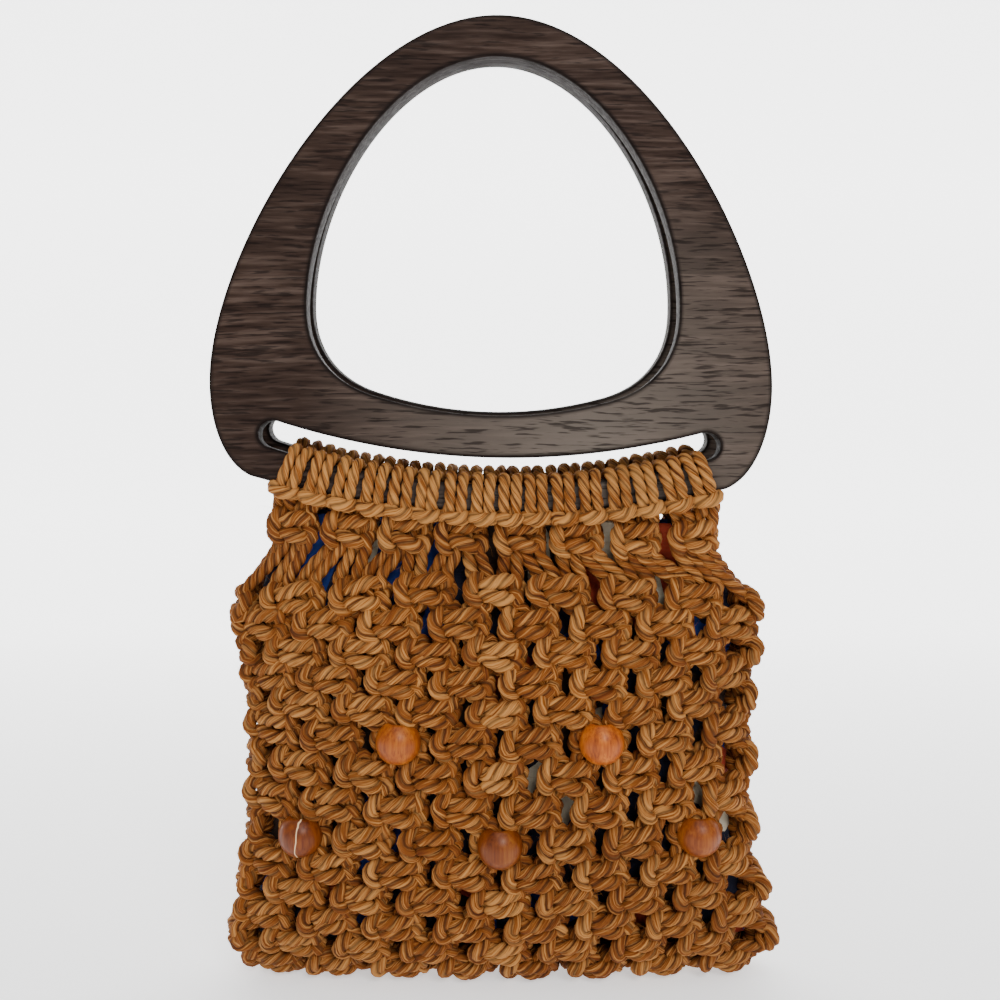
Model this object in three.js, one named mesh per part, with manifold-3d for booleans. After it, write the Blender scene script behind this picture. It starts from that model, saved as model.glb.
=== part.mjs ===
import * as THREE from 'three';
import { mergeVertices } from 'three/addons/utils/BufferGeometryUtils.js';
import Module from 'manifold-3d';

// A handbag with two wooden hoop handles, a knotted jute net body, five wooden beads and a printed
// cloth lining. Millimetres, +Z up, the front of the bag at -Y. The origin lies where the bag hangs:
// at the top of the two hand openings, midway between the handles.

const wasm = await Module();
wasm.setup();

// General sizes
const SEAT = 0.3;                  // clearance between two pieces that touch
const CORD = 4.4;                  // diameter of the laid jute cord
const MERGE_DISTANCE = 1e-4;       // points nearer than this are one

// Handle plate, each height measured down the middle line
const PLATE = 10;                  // thickness of the wood
const EDGE_BEVEL = 1.2;            // worn edge round the plate and its openings
const TOP_BAND = 18;               // wood above the hand opening
const HANDLE_HALF_WIDTH = 124;
const HANDLE_WIDEST = 143;         // level of the widest place, below the opening's top
const HANDLE_CORNER_X = 105;       // where the rounded corner meets the lower edge
const OPENING_HALF_WIDTH = 82;
const OPENING_HEIGHT = 156.5;
const OPENING_WIDEST = 110;
const OPENING_CORNER_X = 50;
const OPENING_SOLE_RADIUS = 182;   // shallow curve along the bottom of the hand opening
const WEB = 18.5;                  // wood between the hand opening and the slot
const SLOT_WIDTH = 12;
const SLOT_HALF_LENGTH = 102;
const SLOT_RADIUS = 341;           // curve of the slot's middle line
const BAR_HEIGHT = 12;             // wood below the slot, which the cords are knotted on
const BAR_EDGE_RADIUS = 430;       // curve of the lowest edge

// How far the outlines' curves run on before they turn, each as a share of the side it follows
const HANDLE_PULL = { crown: 0.53, flank: 0.34, cheek: 0.47, cornerAcross: 0.63, cornerUp: 0.12 };
const OPENING_PULL = { crown: 0.54, flank: 0.53, cheek: 0.53, cornerAcross: 0.63, cornerUp: 0.13 };

// Steps of each curve
const CROWN_STEPS = 13;
const ARCH_STEPS = 10;
const CHEEK_STEPS = 5;
const BAR_EDGE_STEPS = 8;
const SOLE_STEPS = 2;
const SLOT_STEPS = 14;
const SLOT_END_STEPS = 5;

// How the two handles hang
const LEAN = THREE.MathUtils.degToRad(2.4);   // each handle leans out from the other towards its foot
const ROLL = THREE.MathUtils.degToRad(1.6);   // both tip down on the right, as in use

// Knots that mount the net on the bar
const MOUNT_COUNT = 16;
const MOUNT_WIDTH = 2 * CORD;
const MOUNT_FREE = 7;              // slot left free at the high end, the knots having slid down
const MOUNT_CHAMFER = 3;           // rounding of a loop where it turns over the bar
const MOUNT_FLANK = 1.2;           // how much lower a loop's flanks lie than its ridge
const RAIL_DEPTH = 15;             // row of cord loops just under the bar
const RAIL_HEIGHT = 4.8;
const RAIL_CLEARANCE = 1.2 * SEAT; // between that row and the net, a little more for their curves

// Net body
const NET_HEIGHT = 206;
const NET_HALF_WIDTH = 124;        // to the middle of the cords, at the widest row
const NET_HALF_DEPTH = 28.5;       // to the middle of the cords, at the fullest row
const NET_BOW = 6;                 // how far a row dips in the middle
const NET_CELLS = 16;              // half spaces between knots across one panel
const NET_INNER = 4;               // middle of the cords to the inner face
const NET_OUTER = 2.6;             // middle of the cords to the outer face beside a gap
const KNOT_RISE = 5.8;             // middle of the cords to the crown of a knot
const SCALLOP = 1.2;               // how far the side edge draws in between two knots

// Rows of knots from the top edge down. drop is a share of NET_HEIGHT, width of NET_HALF_WIDTH, neck of
// the bar's distance from the middle plane, belly of NET_HALF_DEPTH and bow of NET_BOW. side, up and
// down are the gap's reach from its centre, as shares of the way to the next knot on that side.
const NET_ROWS = [
  { drop: 0.000, width: 0.76, neck: 1.00, belly: 0.00, bow: 0.0, side: 0.00, up: 0.00, down: 0.00 },
  { drop: 0.035, width: 0.77, neck: 0.90, belly: 0.10, bow: 0.3, side: 0.34, up: 0.00, down: 0.66 },
  { drop: 0.168, width: 0.95, neck: 0.00, belly: 0.72, bow: 1.0, side: 0.34, up: 0.24, down: 0.42 },
  { drop: 0.227, width: 0.94, neck: 0.00, belly: 0.81, bow: 0.9, side: 0.34, up: 0.40, down: 0.42 },
  { drop: 0.283, width: 0.92, neck: 0.00, belly: 0.88, bow: 0.8, side: 0.34, up: 0.40, down: 0.42 },
  { drop: 0.341, width: 0.92, neck: 0.00, belly: 0.93, bow: 0.8, side: 0.34, up: 0.40, down: 0.42 },
  { drop: 0.399, width: 0.91, neck: 0.00, belly: 0.97, bow: 0.7, side: 0.34, up: 0.40, down: 0.42 },
  { drop: 0.462, width: 0.91, neck: 0.00, belly: 0.99, bow: 0.6, side: 0.34, up: 0.40, down: 0.42 },
  { drop: 0.535, width: 0.91, neck: 0.00, belly: 1.00, bow: 0.5, side: 0.34, up: 0.40, down: 0.42 },
  { drop: 0.608, width: 0.92, neck: 0.00, belly: 1.00, bow: 0.3, side: 0.00, up: 0.00, down: 0.00 },
  { drop: 0.681, width: 0.92, neck: 0.00, belly: 1.00, bow: 0.2, side: 0.00, up: 0.00, down: 0.00 },
  { drop: 0.748, width: 0.94, neck: 0.00, belly: 0.97, bow: 0.1, side: 0.00, up: 0.00, down: 0.00 },
  { drop: 0.807, width: 0.96, neck: 0.00, belly: 0.92, bow: 0.0, side: 0.00, up: 0.00, down: 0.00 },
  { drop: 0.865, width: 0.98, neck: 0.00, belly: 0.84, bow: 0.0, side: 0.00, up: 0.00, down: 0.00 },
  { drop: 0.918, width: 1.00, neck: 0.00, belly: 0.70, bow: 0.0, side: 0.00, up: 0.00, down: 0.00 },
  { drop: 0.965, width: 0.98, neck: 0.00, belly: 0.45, bow: 0.0, side: 0.00, up: 0.00, down: 0.00 },
  { drop: 1.000, width: 0.90, neck: 0.00, belly: 0.00, bow: 0.2, side: 0.00, up: 0.00, down: 0.00 },
];
const LAST_ROW = NET_ROWS.length - 1;
const LAST_OPEN_ROW = 8;           // below this row the gaps are drawn nearly shut and only dimple
const DIMPLE = 0.8;                // middle of the cords to the floor of such a dimple

// Beads in the front of the net, each in the place of a knot: its row and its cell across the panel
const BEAD_DIAMETER = 20;
const BEAD_CORDS = 7.4;            // width of the cords that run through a bead
const BEAD_CORD_GRIP = 5;          // how far those cords run on into the net past the bead
const BEAD_FLAT = 10.4;            // width of the flat round each end of the bore
const BEAD_PROUD = 2.5;            // bead's centre in front of the middle of the cords
const BEAD_SIDES = 10;
const BEAD_STEPS = 4;              // steps of its section from pole to pole
const BEAD_CORD_SIDES = 6;
const BEADS = [
  { name: 'upper_left_bead', row: 7, cell: 5 },
  { name: 'upper_right_bead', row: 7, cell: 11 },
  { name: 'lower_left_bead', row: 10, cell: 2 },
  { name: 'lower_middle_bead', row: 10, cell: 8 },
  { name: 'lower_right_bead', row: 10, cell: 14 },
];

// Cloth lining
const LINING_WALL = 1.4;
const LINING_INSET = 8.2;          // middle of the cords to the outer face of the hanging cloth
const LINING_SEAM = NET_INNER + SEAT;         // the same, where the cloth is sewn in at the neck
const LINING_CELLS = 8;            // cloth panels across one side

// Levels of the lining as rows of the net, and how far it has drawn in from the seam to the full inset
const LINING_ROWS = [
  { row: 0.35, drawn: 0 },
  { row: 1.0, drawn: 0.3 },
  { row: 1.5, drawn: 0.8 },
  { row: 2.0, drawn: 1 },
  { row: 3.0, drawn: 1 },
  { row: 5.0, drawn: 1 },
  { row: 7.0, drawn: 1 },
  { row: 9.0, drawn: 1 },
  { row: 11.0, drawn: 1 },
  { row: 13.0, drawn: 1 },
  { row: 14.2, drawn: 1 },
];

// Levels that follow from the sizes above
const SLOT_MIDDLE = -(OPENING_HEIGHT + WEB + SLOT_WIDTH / 2);
const BAR_FOOT = -(OPENING_HEIGHT + WEB + SLOT_WIDTH + BAR_HEIGHT);
const PLATE_MIDDLE = SEAT / 2 + PLATE / 2;
const RAIL_FOOT = RAIL_HEIGHT + SEAT / 2;
const NET_TOP_DROP = SEAT + RAIL_HEIGHT + RAIL_CLEARANCE + RAIL_DEPTH / 2 * Math.sin(LEAN);
const MOUNT_LAST = SLOT_HALF_LENGTH - SLOT_WIDTH / 2 - MOUNT_WIDTH / 2;
const MOUNT_FIRST = MOUNT_FREE - MOUNT_LAST;

// Finishes
const WALNUT = new THREE.MeshStandardMaterial({ color: 0x3a2a22, roughness: 0.55, metalness: 0 });
const JUTE = new THREE.MeshStandardMaterial({ color: 0xb98a4e, roughness: 0.95, metalness: 0 });
const BEAD_WOOD = new THREE.MeshStandardMaterial({ color: 0xb4632a, roughness: 0.3, metalness: 0 });
const PRINTED_CLOTH = new THREE.MeshStandardMaterial({ color: 0x2a3560, roughness: 0.9, metalness: 0 });

// Height of a shallow arc above its lowest point
function arcRise(radius, x) {
  return radius - Math.sqrt(radius * radius - x * x);
}

function bezier(from, leave, arrive, to, steps) {
  const [a, b, c, d] = [from, leave, arrive, to].map((p) => new THREE.Vector2(...p));
  return new THREE.CubicBezierCurve(a, b, c, d).getPoints(steps);
}

function arcPoints(radius, lowest, fromX, toX, steps) {
  return Array.from({ length: steps + 1 }, (_, k) => {
    const x = fromX + (toX - fromX) * k / steps;
    return new THREE.Vector2(x, lowest + arcRise(radius, x));
  });
}

// Whole outline from its right half, which runs from the top middle to the bottom middle
function mirrored(right) {
  const left = right.slice(1, -1).reverse().map((p) => new THREE.Vector2(-p.x, p.y));
  return [...right, ...left];
}

// Joins runs of points whose ends coincide
function chain(...runs) {
  return runs.flatMap((run, k) => (k === 0 ? run : run.slice(1)));
}

function handleOutline() {
  const cornerY = BAR_FOOT + arcRise(BAR_EDGE_RADIUS, HANDLE_CORNER_X);
  const pull = HANDLE_PULL;
  const flankRise = pull.flank * (HANDLE_WIDEST + TOP_BAND);
  const cornerFall = -HANDLE_WIDEST - cornerY;
  const top = [0, TOP_BAND];
  const side = [HANDLE_HALF_WIDTH, -HANDLE_WIDEST];
  const corner = [HANDLE_CORNER_X, cornerY];
  const crown = bezier(top, [pull.crown * HANDLE_HALF_WIDTH, TOP_BAND],
    [side[0], side[1] + flankRise], side, CROWN_STEPS);
  const cheek = bezier(side, [side[0], side[1] - pull.cheek * cornerFall],
    [corner[0] + pull.cornerAcross * (side[0] - corner[0]), cornerY + pull.cornerUp * cornerFall],
    corner, CHEEK_STEPS);
  const foot = arcPoints(BAR_EDGE_RADIUS, BAR_FOOT, HANDLE_CORNER_X, 0, BAR_EDGE_STEPS);
  return mirrored(chain(crown, cheek, foot));
}

function openingOutline() {
  const cornerY = -OPENING_HEIGHT + arcRise(OPENING_SOLE_RADIUS, OPENING_CORNER_X);
  const cornerFall = -OPENING_WIDEST - cornerY;
  const side = [OPENING_HALF_WIDTH, -OPENING_WIDEST];
  const corner = [OPENING_CORNER_X, cornerY];
  const pull = OPENING_PULL;
  const arch = bezier([0, 0], [pull.crown * OPENING_HALF_WIDTH, 0],
    [side[0], -pull.flank * OPENING_WIDEST], side, ARCH_STEPS);
  const cheek = bezier(side, [side[0], side[1] - pull.cheek * cornerFall],
    [corner[0] + pull.cornerAcross * (side[0] - corner[0]), cornerY + pull.cornerUp * cornerFall],
    corner, CHEEK_STEPS);
  const sole = arcPoints(OPENING_SOLE_RADIUS, -OPENING_HEIGHT, OPENING_CORNER_X, 0, SOLE_STEPS);
  return mirrored(chain(arch, cheek, sole));
}

function slotOutline() {
  const half = SLOT_WIDTH / 2;
  const sweep = Math.asin((SLOT_HALF_LENGTH - half) / SLOT_RADIUS);
  const at = (angle, radius) => new THREE.Vector2(Math.sin(angle) * radius,
    SLOT_MIDDLE + SLOT_RADIUS - Math.cos(angle) * radius);
  const edge = (from, to, radius) => Array.from({ length: SLOT_STEPS + 1 },
    (_, k) => at(from + (to - from) * k / SLOT_STEPS, radius));
  const end = (angle, way) => Array.from({ length: SLOT_END_STEPS - 1 }, (_, k) => {
    const turn = (k + 1) * Math.PI / SLOT_END_STEPS;
    const along = new THREE.Vector2(Math.cos(angle), Math.sin(angle));
    const across = new THREE.Vector2(Math.sin(angle), -Math.cos(angle));
    return at(angle, SLOT_RADIUS)
      .addScaledVector(along, way * half * Math.sin(turn))
      .addScaledVector(across, -way * half * Math.cos(turn));
  });
  return [...edge(-sweep, sweep, SLOT_RADIUS - half), ...end(sweep, 1),
    ...edge(sweep, -sweep, SLOT_RADIUS + half), ...end(-sweep, -1)];
}

// Wooden hoop: one plate with a hand opening and a curved slot, its middle plane on the local XZ plane
function handlePlate() {
  const shape = new THREE.Shape(handleOutline().reverse());
  shape.holes.push(new THREE.Path(openingOutline()), new THREE.Path(slotOutline()));
  const plate = new THREE.ExtrudeGeometry(shape, {
    depth: PLATE - 2 * EDGE_BEVEL, bevelThickness: EDGE_BEVEL, bevelSize: EDGE_BEVEL,
    bevelOffset: -EDGE_BEVEL, bevelSegments: 1, steps: 1,
  });
  plate.translate(0, 0, EDGE_BEVEL - PLATE / 2);
  return plate.rotateX(Math.PI / 2);
}

// Closed solid of a geometry, its shared vertices merged
function solidOf(geometry) {
  const bare = geometry.clone();
  bare.deleteAttribute('normal');
  bare.deleteAttribute('uv');
  const merged = mergeVertices(bare, MERGE_DISTANCE);
  return new wasm.Manifold(new wasm.Mesh({
    numProp: 3,
    vertProperties: new Float32Array(merged.attributes.position.array),
    triVerts: new Uint32Array(merged.index.array),
  }));
}

function geometryOf(solid) {
  const { vertProperties, triVerts } = solid.getMesh();
  return trianglesOf(vertProperties, triVerts);
}

function trianglesOf(positions, faces) {
  const geometry = new THREE.BufferGeometry();
  geometry.setAttribute('position', new THREE.BufferAttribute(new Float32Array(positions), 3));
  geometry.setIndex(Array.from(faces));
  return geometry;
}

// Two triangles that close the quad a, b, c, d
function quad(a, b, c, d) {
  return [a, b, c, a, c, d];
}

// One loop round the bar, in the plate's own frame: it turns over the bar square to the slot's curve. Its
// points are three outer runs, on the two flanks and the ridge between them, and two inner runs.
function mountLoop(x) {
  const barTop = SLOT_RADIUS + SLOT_WIDTH / 2;
  const angle = Math.asin(x / barTop);
  const barBottom = barFootAlong(angle);
  const innerY = PLATE / 2 + SEAT;
  const positions = [];
  const put = (along, y, radius) => {
    positions.push(Math.sin(angle) * radius + Math.cos(angle) * along, y,
      SLOT_MIDDLE + SLOT_RADIUS - Math.cos(angle) * radius + Math.sin(angle) * along);
  };
  for (const [along, drop] of [[-MOUNT_WIDTH / 2, MOUNT_FLANK], [0, 0], [MOUNT_WIDTH / 2, MOUNT_FLANK]]) {
    const y = innerY + CORD - drop;
    const high = barTop - SEAT - CORD + drop;
    const low = barBottom + SEAT + RAIL_HEIGHT - drop;
    put(along, -y, low);
    put(along, -y, high + MOUNT_CHAMFER);
    put(along, -y + MOUNT_CHAMFER, high);
    put(along, y - MOUNT_CHAMFER, high);
    put(along, y, high + MOUNT_CHAMFER);
    put(along, y, low);
  }
  for (const along of [-MOUNT_WIDTH / 2, MOUNT_WIDTH / 2]) {
    put(along, -innerY, barBottom + SEAT);
    put(along, -innerY, barTop - SEAT);
    put(along, innerY, barTop - SEAT);
    put(along, innerY, barBottom + SEAT);
  }
  const outerRun = 6;
  const innerRun = 4;
  const ridge = outerRun;
  const farFlank = 2 * outerRun;
  const nearHole = 3 * outerRun;
  const farHole = nearHole + innerRun;
  const faces = [];
  for (let k = 0; k < outerRun; k++) {
    const next = (k + 1) % outerRun;
    faces.push(...quad(k, ridge + k, ridge + next, next));
    faces.push(...quad(ridge + k, farFlank + k, farFlank + next, ridge + next));
  }
  for (let k = 0; k < innerRun; k++) {
    const next = (k + 1) % innerRun;
    faces.push(...quad(nearHole + k, nearHole + next, farHole + next, farHole + k));
  }
  const flank = (outer, inner) => [
    ...quad(outer, outer + 1, inner + 1, inner), outer + 1, outer + 2, inner + 1,
    ...quad(outer + 2, outer + 3, inner + 2, inner + 1), outer + 3, outer + 4, inner + 2,
    ...quad(outer + 4, outer + 5, inner + 3, inner + 2), ...quad(outer + 5, outer, inner, inner + 3),
  ];
  faces.push(...flank(0, nearHole), ...flank(farFlank, farHole).reverse());
  return trianglesOf(positions, faces);
}

// Distance from the centre of the slot's curve to the lowest edge, at an angle from straight down
function barFootAlong(angle) {
  const offset = BAR_FOOT + BAR_EDGE_RADIUS - (SLOT_MIDDLE + SLOT_RADIUS);
  const reach = BAR_EDGE_RADIUS ** 2 - (offset * Math.sin(angle)) ** 2;
  return Math.sqrt(reach) - offset * Math.cos(angle);
}

// Row of cord loops that lies under the bar from the first mounting knot to the last
function mountRail() {
  const start = MOUNT_FIRST - MOUNT_WIDTH / 2 + MOUNT_FLANK;
  const length = MOUNT_LAST - MOUNT_FIRST + MOUNT_WIDTH - 2 * MOUNT_FLANK;
  const corners = 4;
  const positions = [];
  const faces = [];
  for (let k = 0; k <= MOUNT_COUNT; k++) {
    const angle = Math.asin((start + length * k / MOUNT_COUNT) / (SLOT_RADIUS + SLOT_WIDTH / 2));
    for (const [side, depth] of [[-1, SEAT], [-1, RAIL_FOOT], [1, RAIL_FOOT], [1, SEAT]]) {
      const radius = barFootAlong(angle) + depth;
      positions.push(Math.sin(angle) * radius, side * RAIL_DEPTH / 2,
        SLOT_MIDDLE + SLOT_RADIUS - Math.cos(angle) * radius);
    }
    if (k === MOUNT_COUNT) continue;
    const near = corners * k;
    const far = near + corners;
    for (let c = 0; c < corners; c++) {
      const next = (c + 1) % corners;
      faces.push(...quad(near + c, near + next, far + next, far + c));
    }
  }
  const last = corners * MOUNT_COUNT;
  faces.push(...quad(3, 2, 1, 0), ...quad(last, last + 1, last + 2, last + 3));
  return trianglesOf(positions, faces);
}

function mountingKnots() {
  let knots = solidOf(mountRail());
  for (let k = 0; k < MOUNT_COUNT; k++) {
    const x = MOUNT_FIRST + (MOUNT_LAST - MOUNT_FIRST) * k / (MOUNT_COUNT - 1);
    knots = knots.add(solidOf(mountLoop(x)));
  }
  return geometryOf(knots);
}

// Height of the bar's lowest edge in the bag's frame. The plates lean out about their top edge.
function barFootAt(x) {
  const along = x * Math.cos(ROLL) - BAR_FOOT * Math.sin(ROLL);
  const fall = TOP_BAND - BAR_FOOT - arcRise(BAR_EDGE_RADIUS, along);
  const height = TOP_BAND - fall * Math.cos(LEAN) + PLATE_MIDDLE * Math.sin(LEAN);
  return height * Math.cos(ROLL) - along * Math.sin(ROLL);
}

// Distance of the bar's lowest edge from the middle plane of the bag
function barDistance() {
  return PLATE_MIDDLE * Math.cos(LEAN) + (TOP_BAND - BAR_FOOT) * Math.sin(LEAN);
}

function rowSizes(row) {
  const above = NET_ROWS[Math.min(Math.floor(row), NET_ROWS.length - 2)];
  const below = NET_ROWS[NET_ROWS.indexOf(above) + 1];
  const share = row - NET_ROWS.indexOf(above);
  const mix = (column) => above[column] + (below[column] - above[column]) * share;
  return {
    halfWidth: mix('width') * NET_HALF_WIDTH,
    halfDepth: mix('belly') * NET_HALF_DEPTH,
    neck: mix('neck'),
    drop: mix('drop') * NET_HEIGHT,
    bow: mix('bow') * NET_BOW,
  };
}

// Angle on an ellipse's quarter at which the given share of the quarter's length is reached
function ellipseAngle(halfWidth, halfDepth, share) {
  const steps = 48;
  const lengths = [0];
  for (let k = 1; k <= steps; k++) {
    const middle = (k - 0.5) / steps * Math.PI / 2;
    const rate = Math.hypot(halfWidth * Math.cos(middle), halfDepth * Math.sin(middle));
    lengths.push(lengths[k - 1] + rate);
  }
  const target = share * lengths[steps];
  const k = Math.max(1, lengths.findIndex((length) => length >= target));
  const part = (target - lengths[k - 1]) / (lengths[k] - lengths[k - 1]);
  return (k - 1 + part) / steps * Math.PI / 2;
}

// Point of the front panel's middle surface, drawn in by an inset: cell 0 to NET_CELLS, row 0 to the last
function bodyPoint(cell, row, inset = 0, sideInset = inset) {
  const sizes = rowSizes(row);
  const halfWidth = sizes.halfWidth - sideInset;
  const halfDepth = Math.max(sizes.halfDepth - inset * (1 - sizes.neck), 0);
  const across = 2 * cell / NET_CELLS - 1;
  const angle = Math.sign(across) * ellipseAngle(halfWidth, Math.max(halfDepth, SEAT), Math.abs(across));
  const x = halfWidth * Math.sin(angle);
  const neckDistance = sizes.neck * (barDistance() - inset);
  const topEdge = barFootAt(0) - NET_TOP_DROP + sizes.neck * (barFootAt(x) - barFootAt(0));
  return new THREE.Vector3(x, -(SEAT / 2 + neckDistance + halfDepth * Math.cos(angle)),
    topEdge - sizes.drop + sizes.bow * across * across);
}

// Directions on the panel at a point: down it and straight out of its front
function bodyFrame(cell, row) {
  const step = 0.25;
  const c = THREE.MathUtils.clamp(cell, step, NET_CELLS - step);
  const r = THREE.MathUtils.clamp(row, step, LAST_ROW - step);
  const across = bodyPoint(c + step, r).sub(bodyPoint(c - step, r)).normalize();
  const down = bodyPoint(c, r + step).sub(bodyPoint(c, r - step)).normalize();
  const out = new THREE.Vector3().crossVectors(across, down).negate().normalize();
  return { down, out };
}

// Between the knots: an open gap in the upper rows, except right beside a bead, and a dimple elsewhere
function isBetween(cell, row) {
  return cell > 0 && cell < NET_CELLS && row > 0 && row < LAST_ROW && (cell + row) % 2 === 1;
}

function isGap(cell, row, beads) {
  const besideBead = beads.some((bead) => Math.abs(bead.cell - cell) + Math.abs(bead.row - row) === 1);
  return isBetween(cell, row) && row <= LAST_OPEN_ROW && !besideBead;
}

// One panel of the net: knots stand proud where the cords cross, with a four-sided gap between them
function netPanel(beads) {
  const places = new Map();
  const outer = [];
  const inner = [];
  const place = (cell, row, rise) => {
    const key = `${cell.toFixed(3)} ${row.toFixed(3)}`;
    if (!places.has(key)) {
      const middle = bodyPoint(cell, row);
      const { out } = bodyFrame(cell, row);
      const onSeam = (cell === 0 || cell === NET_CELLS || row === LAST_ROW) && rowSizes(row).neck === 0;
      const between = (cell === 0 || cell === NET_CELLS) && (cell + row) % 2 === 1;
      if (between) middle.x -= Math.sign(middle.x) * SCALLOP;
      const front = middle.clone().addScaledVector(out, rise);
      const back = middle.clone().addScaledVector(out, -NET_INNER);
      for (const point of [front, back]) {
        point.y = onSeam ? -SEAT / 2 : Math.min(point.y, -SEAT / 2);
      }
      places.set(key, outer.length);
      outer.push(front);
      inner.push(back);
    }
    return places.get(key);
  };
  const rim = (cell, row, way) => {
    const { side, up, down } = NET_ROWS[row];
    const move = { left: [-side, 0], right: [side, 0], up: [0, -up], down: [0, down] }[way];
    return place(cell + move[0], row + move[1], NET_OUTER);
  };
  const corner = (cell, row, ...ways) => {
    if (isGap(cell, row, beads)) return ways.map((way) => rim(cell, row, way));
    if (isBetween(cell, row)) return [place(cell, row, DIMPLE)];
    return [place(cell, row, (cell + row) % 2 === 0 && row > 0 ? KNOT_RISE : NET_OUTER)];
  };

  const fronts = [];
  const backs = [];
  for (let row = 0; row < LAST_ROW; row++) {
    for (let cell = 0; cell < NET_CELLS; cell++) {
      const start = (cell + row) % 2;
      const corners = [corner(cell, row, 'right', 'down'), corner(cell, row + 1, 'up', 'right'),
        corner(cell + 1, row + 1, 'left', 'up'), corner(cell + 1, row, 'down', 'left')];
      const ring = [...corners.slice(start), ...corners.slice(0, start)].flat();
      for (let k = 1; k < ring.length - 1; k++) {
        fronts.push(ring[0], ring[k], ring[k + 1]);
        backs.push(ring[0], ring[k + 1], ring[k]);
      }
    }
  }

  const walls = [];
  for (let row = 1; row < LAST_ROW; row++) {
    for (let cell = 1; cell < NET_CELLS; cell++) {
      if (!isGap(cell, row, beads)) continue;
      const ring = ['right', 'up', 'left', 'down'].map((way) => rim(cell, row, way));
      ring.forEach((from, k) => walls.push([from, ring[(k + 1) % 4]]));
    }
  }
  const border = [];
  for (let cell = 0; cell < NET_CELLS; cell++) border.push([cell, 0]);
  for (let row = 0; row < LAST_ROW; row++) border.push([NET_CELLS, row]);
  for (let cell = NET_CELLS; cell > 0; cell--) border.push([cell, LAST_ROW]);
  for (let row = LAST_ROW; row > 0; row--) border.push([0, row]);
  const rimIds = border.map(([cell, row]) => corner(cell, row)[0]);
  rimIds.forEach((from, k) => walls.push([from, rimIds[(k + 1) % rimIds.length]]));

  const count = outer.length;
  const faces = [...fronts, ...backs.map((id) => id + count)];
  for (const [from, to] of walls) faces.push(...quad(from, to, to + count, from + count));
  return trianglesOf([...outer, ...inner].flatMap((point) => point.toArray()), faces);
}

// Place of a bead in the front panel, with Z along the cords through it and Y into the bag
function beadPlace({ row, cell }) {
  const { down, out } = bodyFrame(cell, row);
  const up = down.clone().negate();
  const inwards = out.clone().negate();
  const right = new THREE.Vector3().crossVectors(inwards, up).normalize();
  const turned = new THREE.Matrix4().makeBasis(right, inwards, up);
  return { middle: bodyPoint(cell, row).addScaledVector(out, BEAD_PROUD), turned };
}

// Front panel with a round window for each bead and the cords that run through the bead
function frontPanel() {
  let panel = solidOf(netPanel(BEADS));
  const windowRadius = (BEAD_DIAMETER / 2 + SEAT) / Math.cos(Math.PI / BEAD_SIDES);
  const cordLength = BEAD_DIAMETER + 2 * BEAD_CORD_GRIP;
  for (const bead of BEADS) {
    const { middle, turned } = beadPlace(bead);
    const window = new THREE.CylinderGeometry(windowRadius, windowRadius, 2 * BEAD_DIAMETER, BEAD_SIDES);
    const cords = new THREE.CylinderGeometry(BEAD_CORDS / 2, BEAD_CORDS / 2, cordLength, BEAD_CORD_SIDES);
    cords.rotateX(Math.PI / 2);
    for (const shape of [window, cords]) shape.applyMatrix4(turned).translate(...middle.toArray());
    panel = panel.subtract(solidOf(window)).add(solidOf(cords));
  }
  return geometryOf(panel);
}

// Back panel: the same net seen from behind, with no beads
function backPanel() {
  const panel = netPanel([]);
  const position = panel.attributes.position;
  for (let k = 0; k < position.count; k++) position.setY(k, -position.getY(k));
  panel.setIndex(Array.from(panel.index.array).reverse());
  return panel;
}

// Ball with a bore and a flat round each end of it, its axis along Z
function beadBall() {
  const radius = BEAD_DIAMETER / 2;
  const bore = BEAD_CORDS / 2 + SEAT;
  const poleAngle = Math.asin(BEAD_FLAT / 2 / radius);
  const bulge = Array.from({ length: BEAD_STEPS + 1 }, (_, k) => {
    const angle = poleAngle + (Math.PI - 2 * poleAngle) * k / BEAD_STEPS;
    return new THREE.Vector2(Math.sin(angle) * radius, -Math.cos(angle) * radius);
  });
  const end = Math.cos(poleAngle) * radius;
  const profile = [new THREE.Vector2(bore, -end), ...bulge, new THREE.Vector2(bore, end),
    new THREE.Vector2(bore, -end)];
  return new THREE.LatheGeometry(profile, BEAD_SIDES).rotateX(Math.PI / 2);
}

// Ring of points round the lining at one level, drawn in by an inset from the middle of the cords
function liningRing({ row, drawn }, extra) {
  const inset = LINING_SEAM + (LINING_INSET - LINING_SEAM) * drawn + extra;
  const front = Array.from({ length: LINING_CELLS + 1 },
    (_, k) => bodyPoint(k * NET_CELLS / LINING_CELLS, row, inset, LINING_INSET + extra));
  const back = front.map((point) => new THREE.Vector3(point.x, -point.y, point.z)).reverse();
  return [...front, ...back];
}

// Cloth pouch: an outer and an inner skin, joined round the open top and each closed along the bottom
function liningPouch() {
  const outer = LINING_ROWS.map((level) => liningRing(level, 0));
  const inner = LINING_ROWS.map((level) => liningRing(level, LINING_WALL));
  for (const point of inner.at(-1)) point.z += LINING_WALL;
  const size = outer[0].length;
  const skin = outer.length * size;
  const faces = [];
  for (let level = 0; level < outer.length - 1; level++) {
    for (let k = 0; k < size; k++) {
      const next = (k + 1) % size;
      const [a, b] = [level * size + k, level * size + next];
      faces.push(...quad(a, a + size, b + size, b));
      faces.push(...quad(skin + b, skin + b + size, skin + a + size, skin + a));
    }
  }
  for (let k = 0; k < LINING_CELLS; k++) {
    const last = (outer.length - 1) * size;
    const [a, b, c, d] = [last + k, last + size - 1 - k, last + size - 2 - k, last + k + 1];
    faces.push(...quad(a, b, c, d), ...quad(skin + d, skin + c, skin + b, skin + a));
  }
  for (let k = 0; k < size; k++) {
    const next = (k + 1) % size;
    faces.push(...quad(k, next, skin + next, skin + k));
  }
  return trianglesOf([...outer, ...inner].flat().flatMap((point) => point.toArray()), faces);
}

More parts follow.
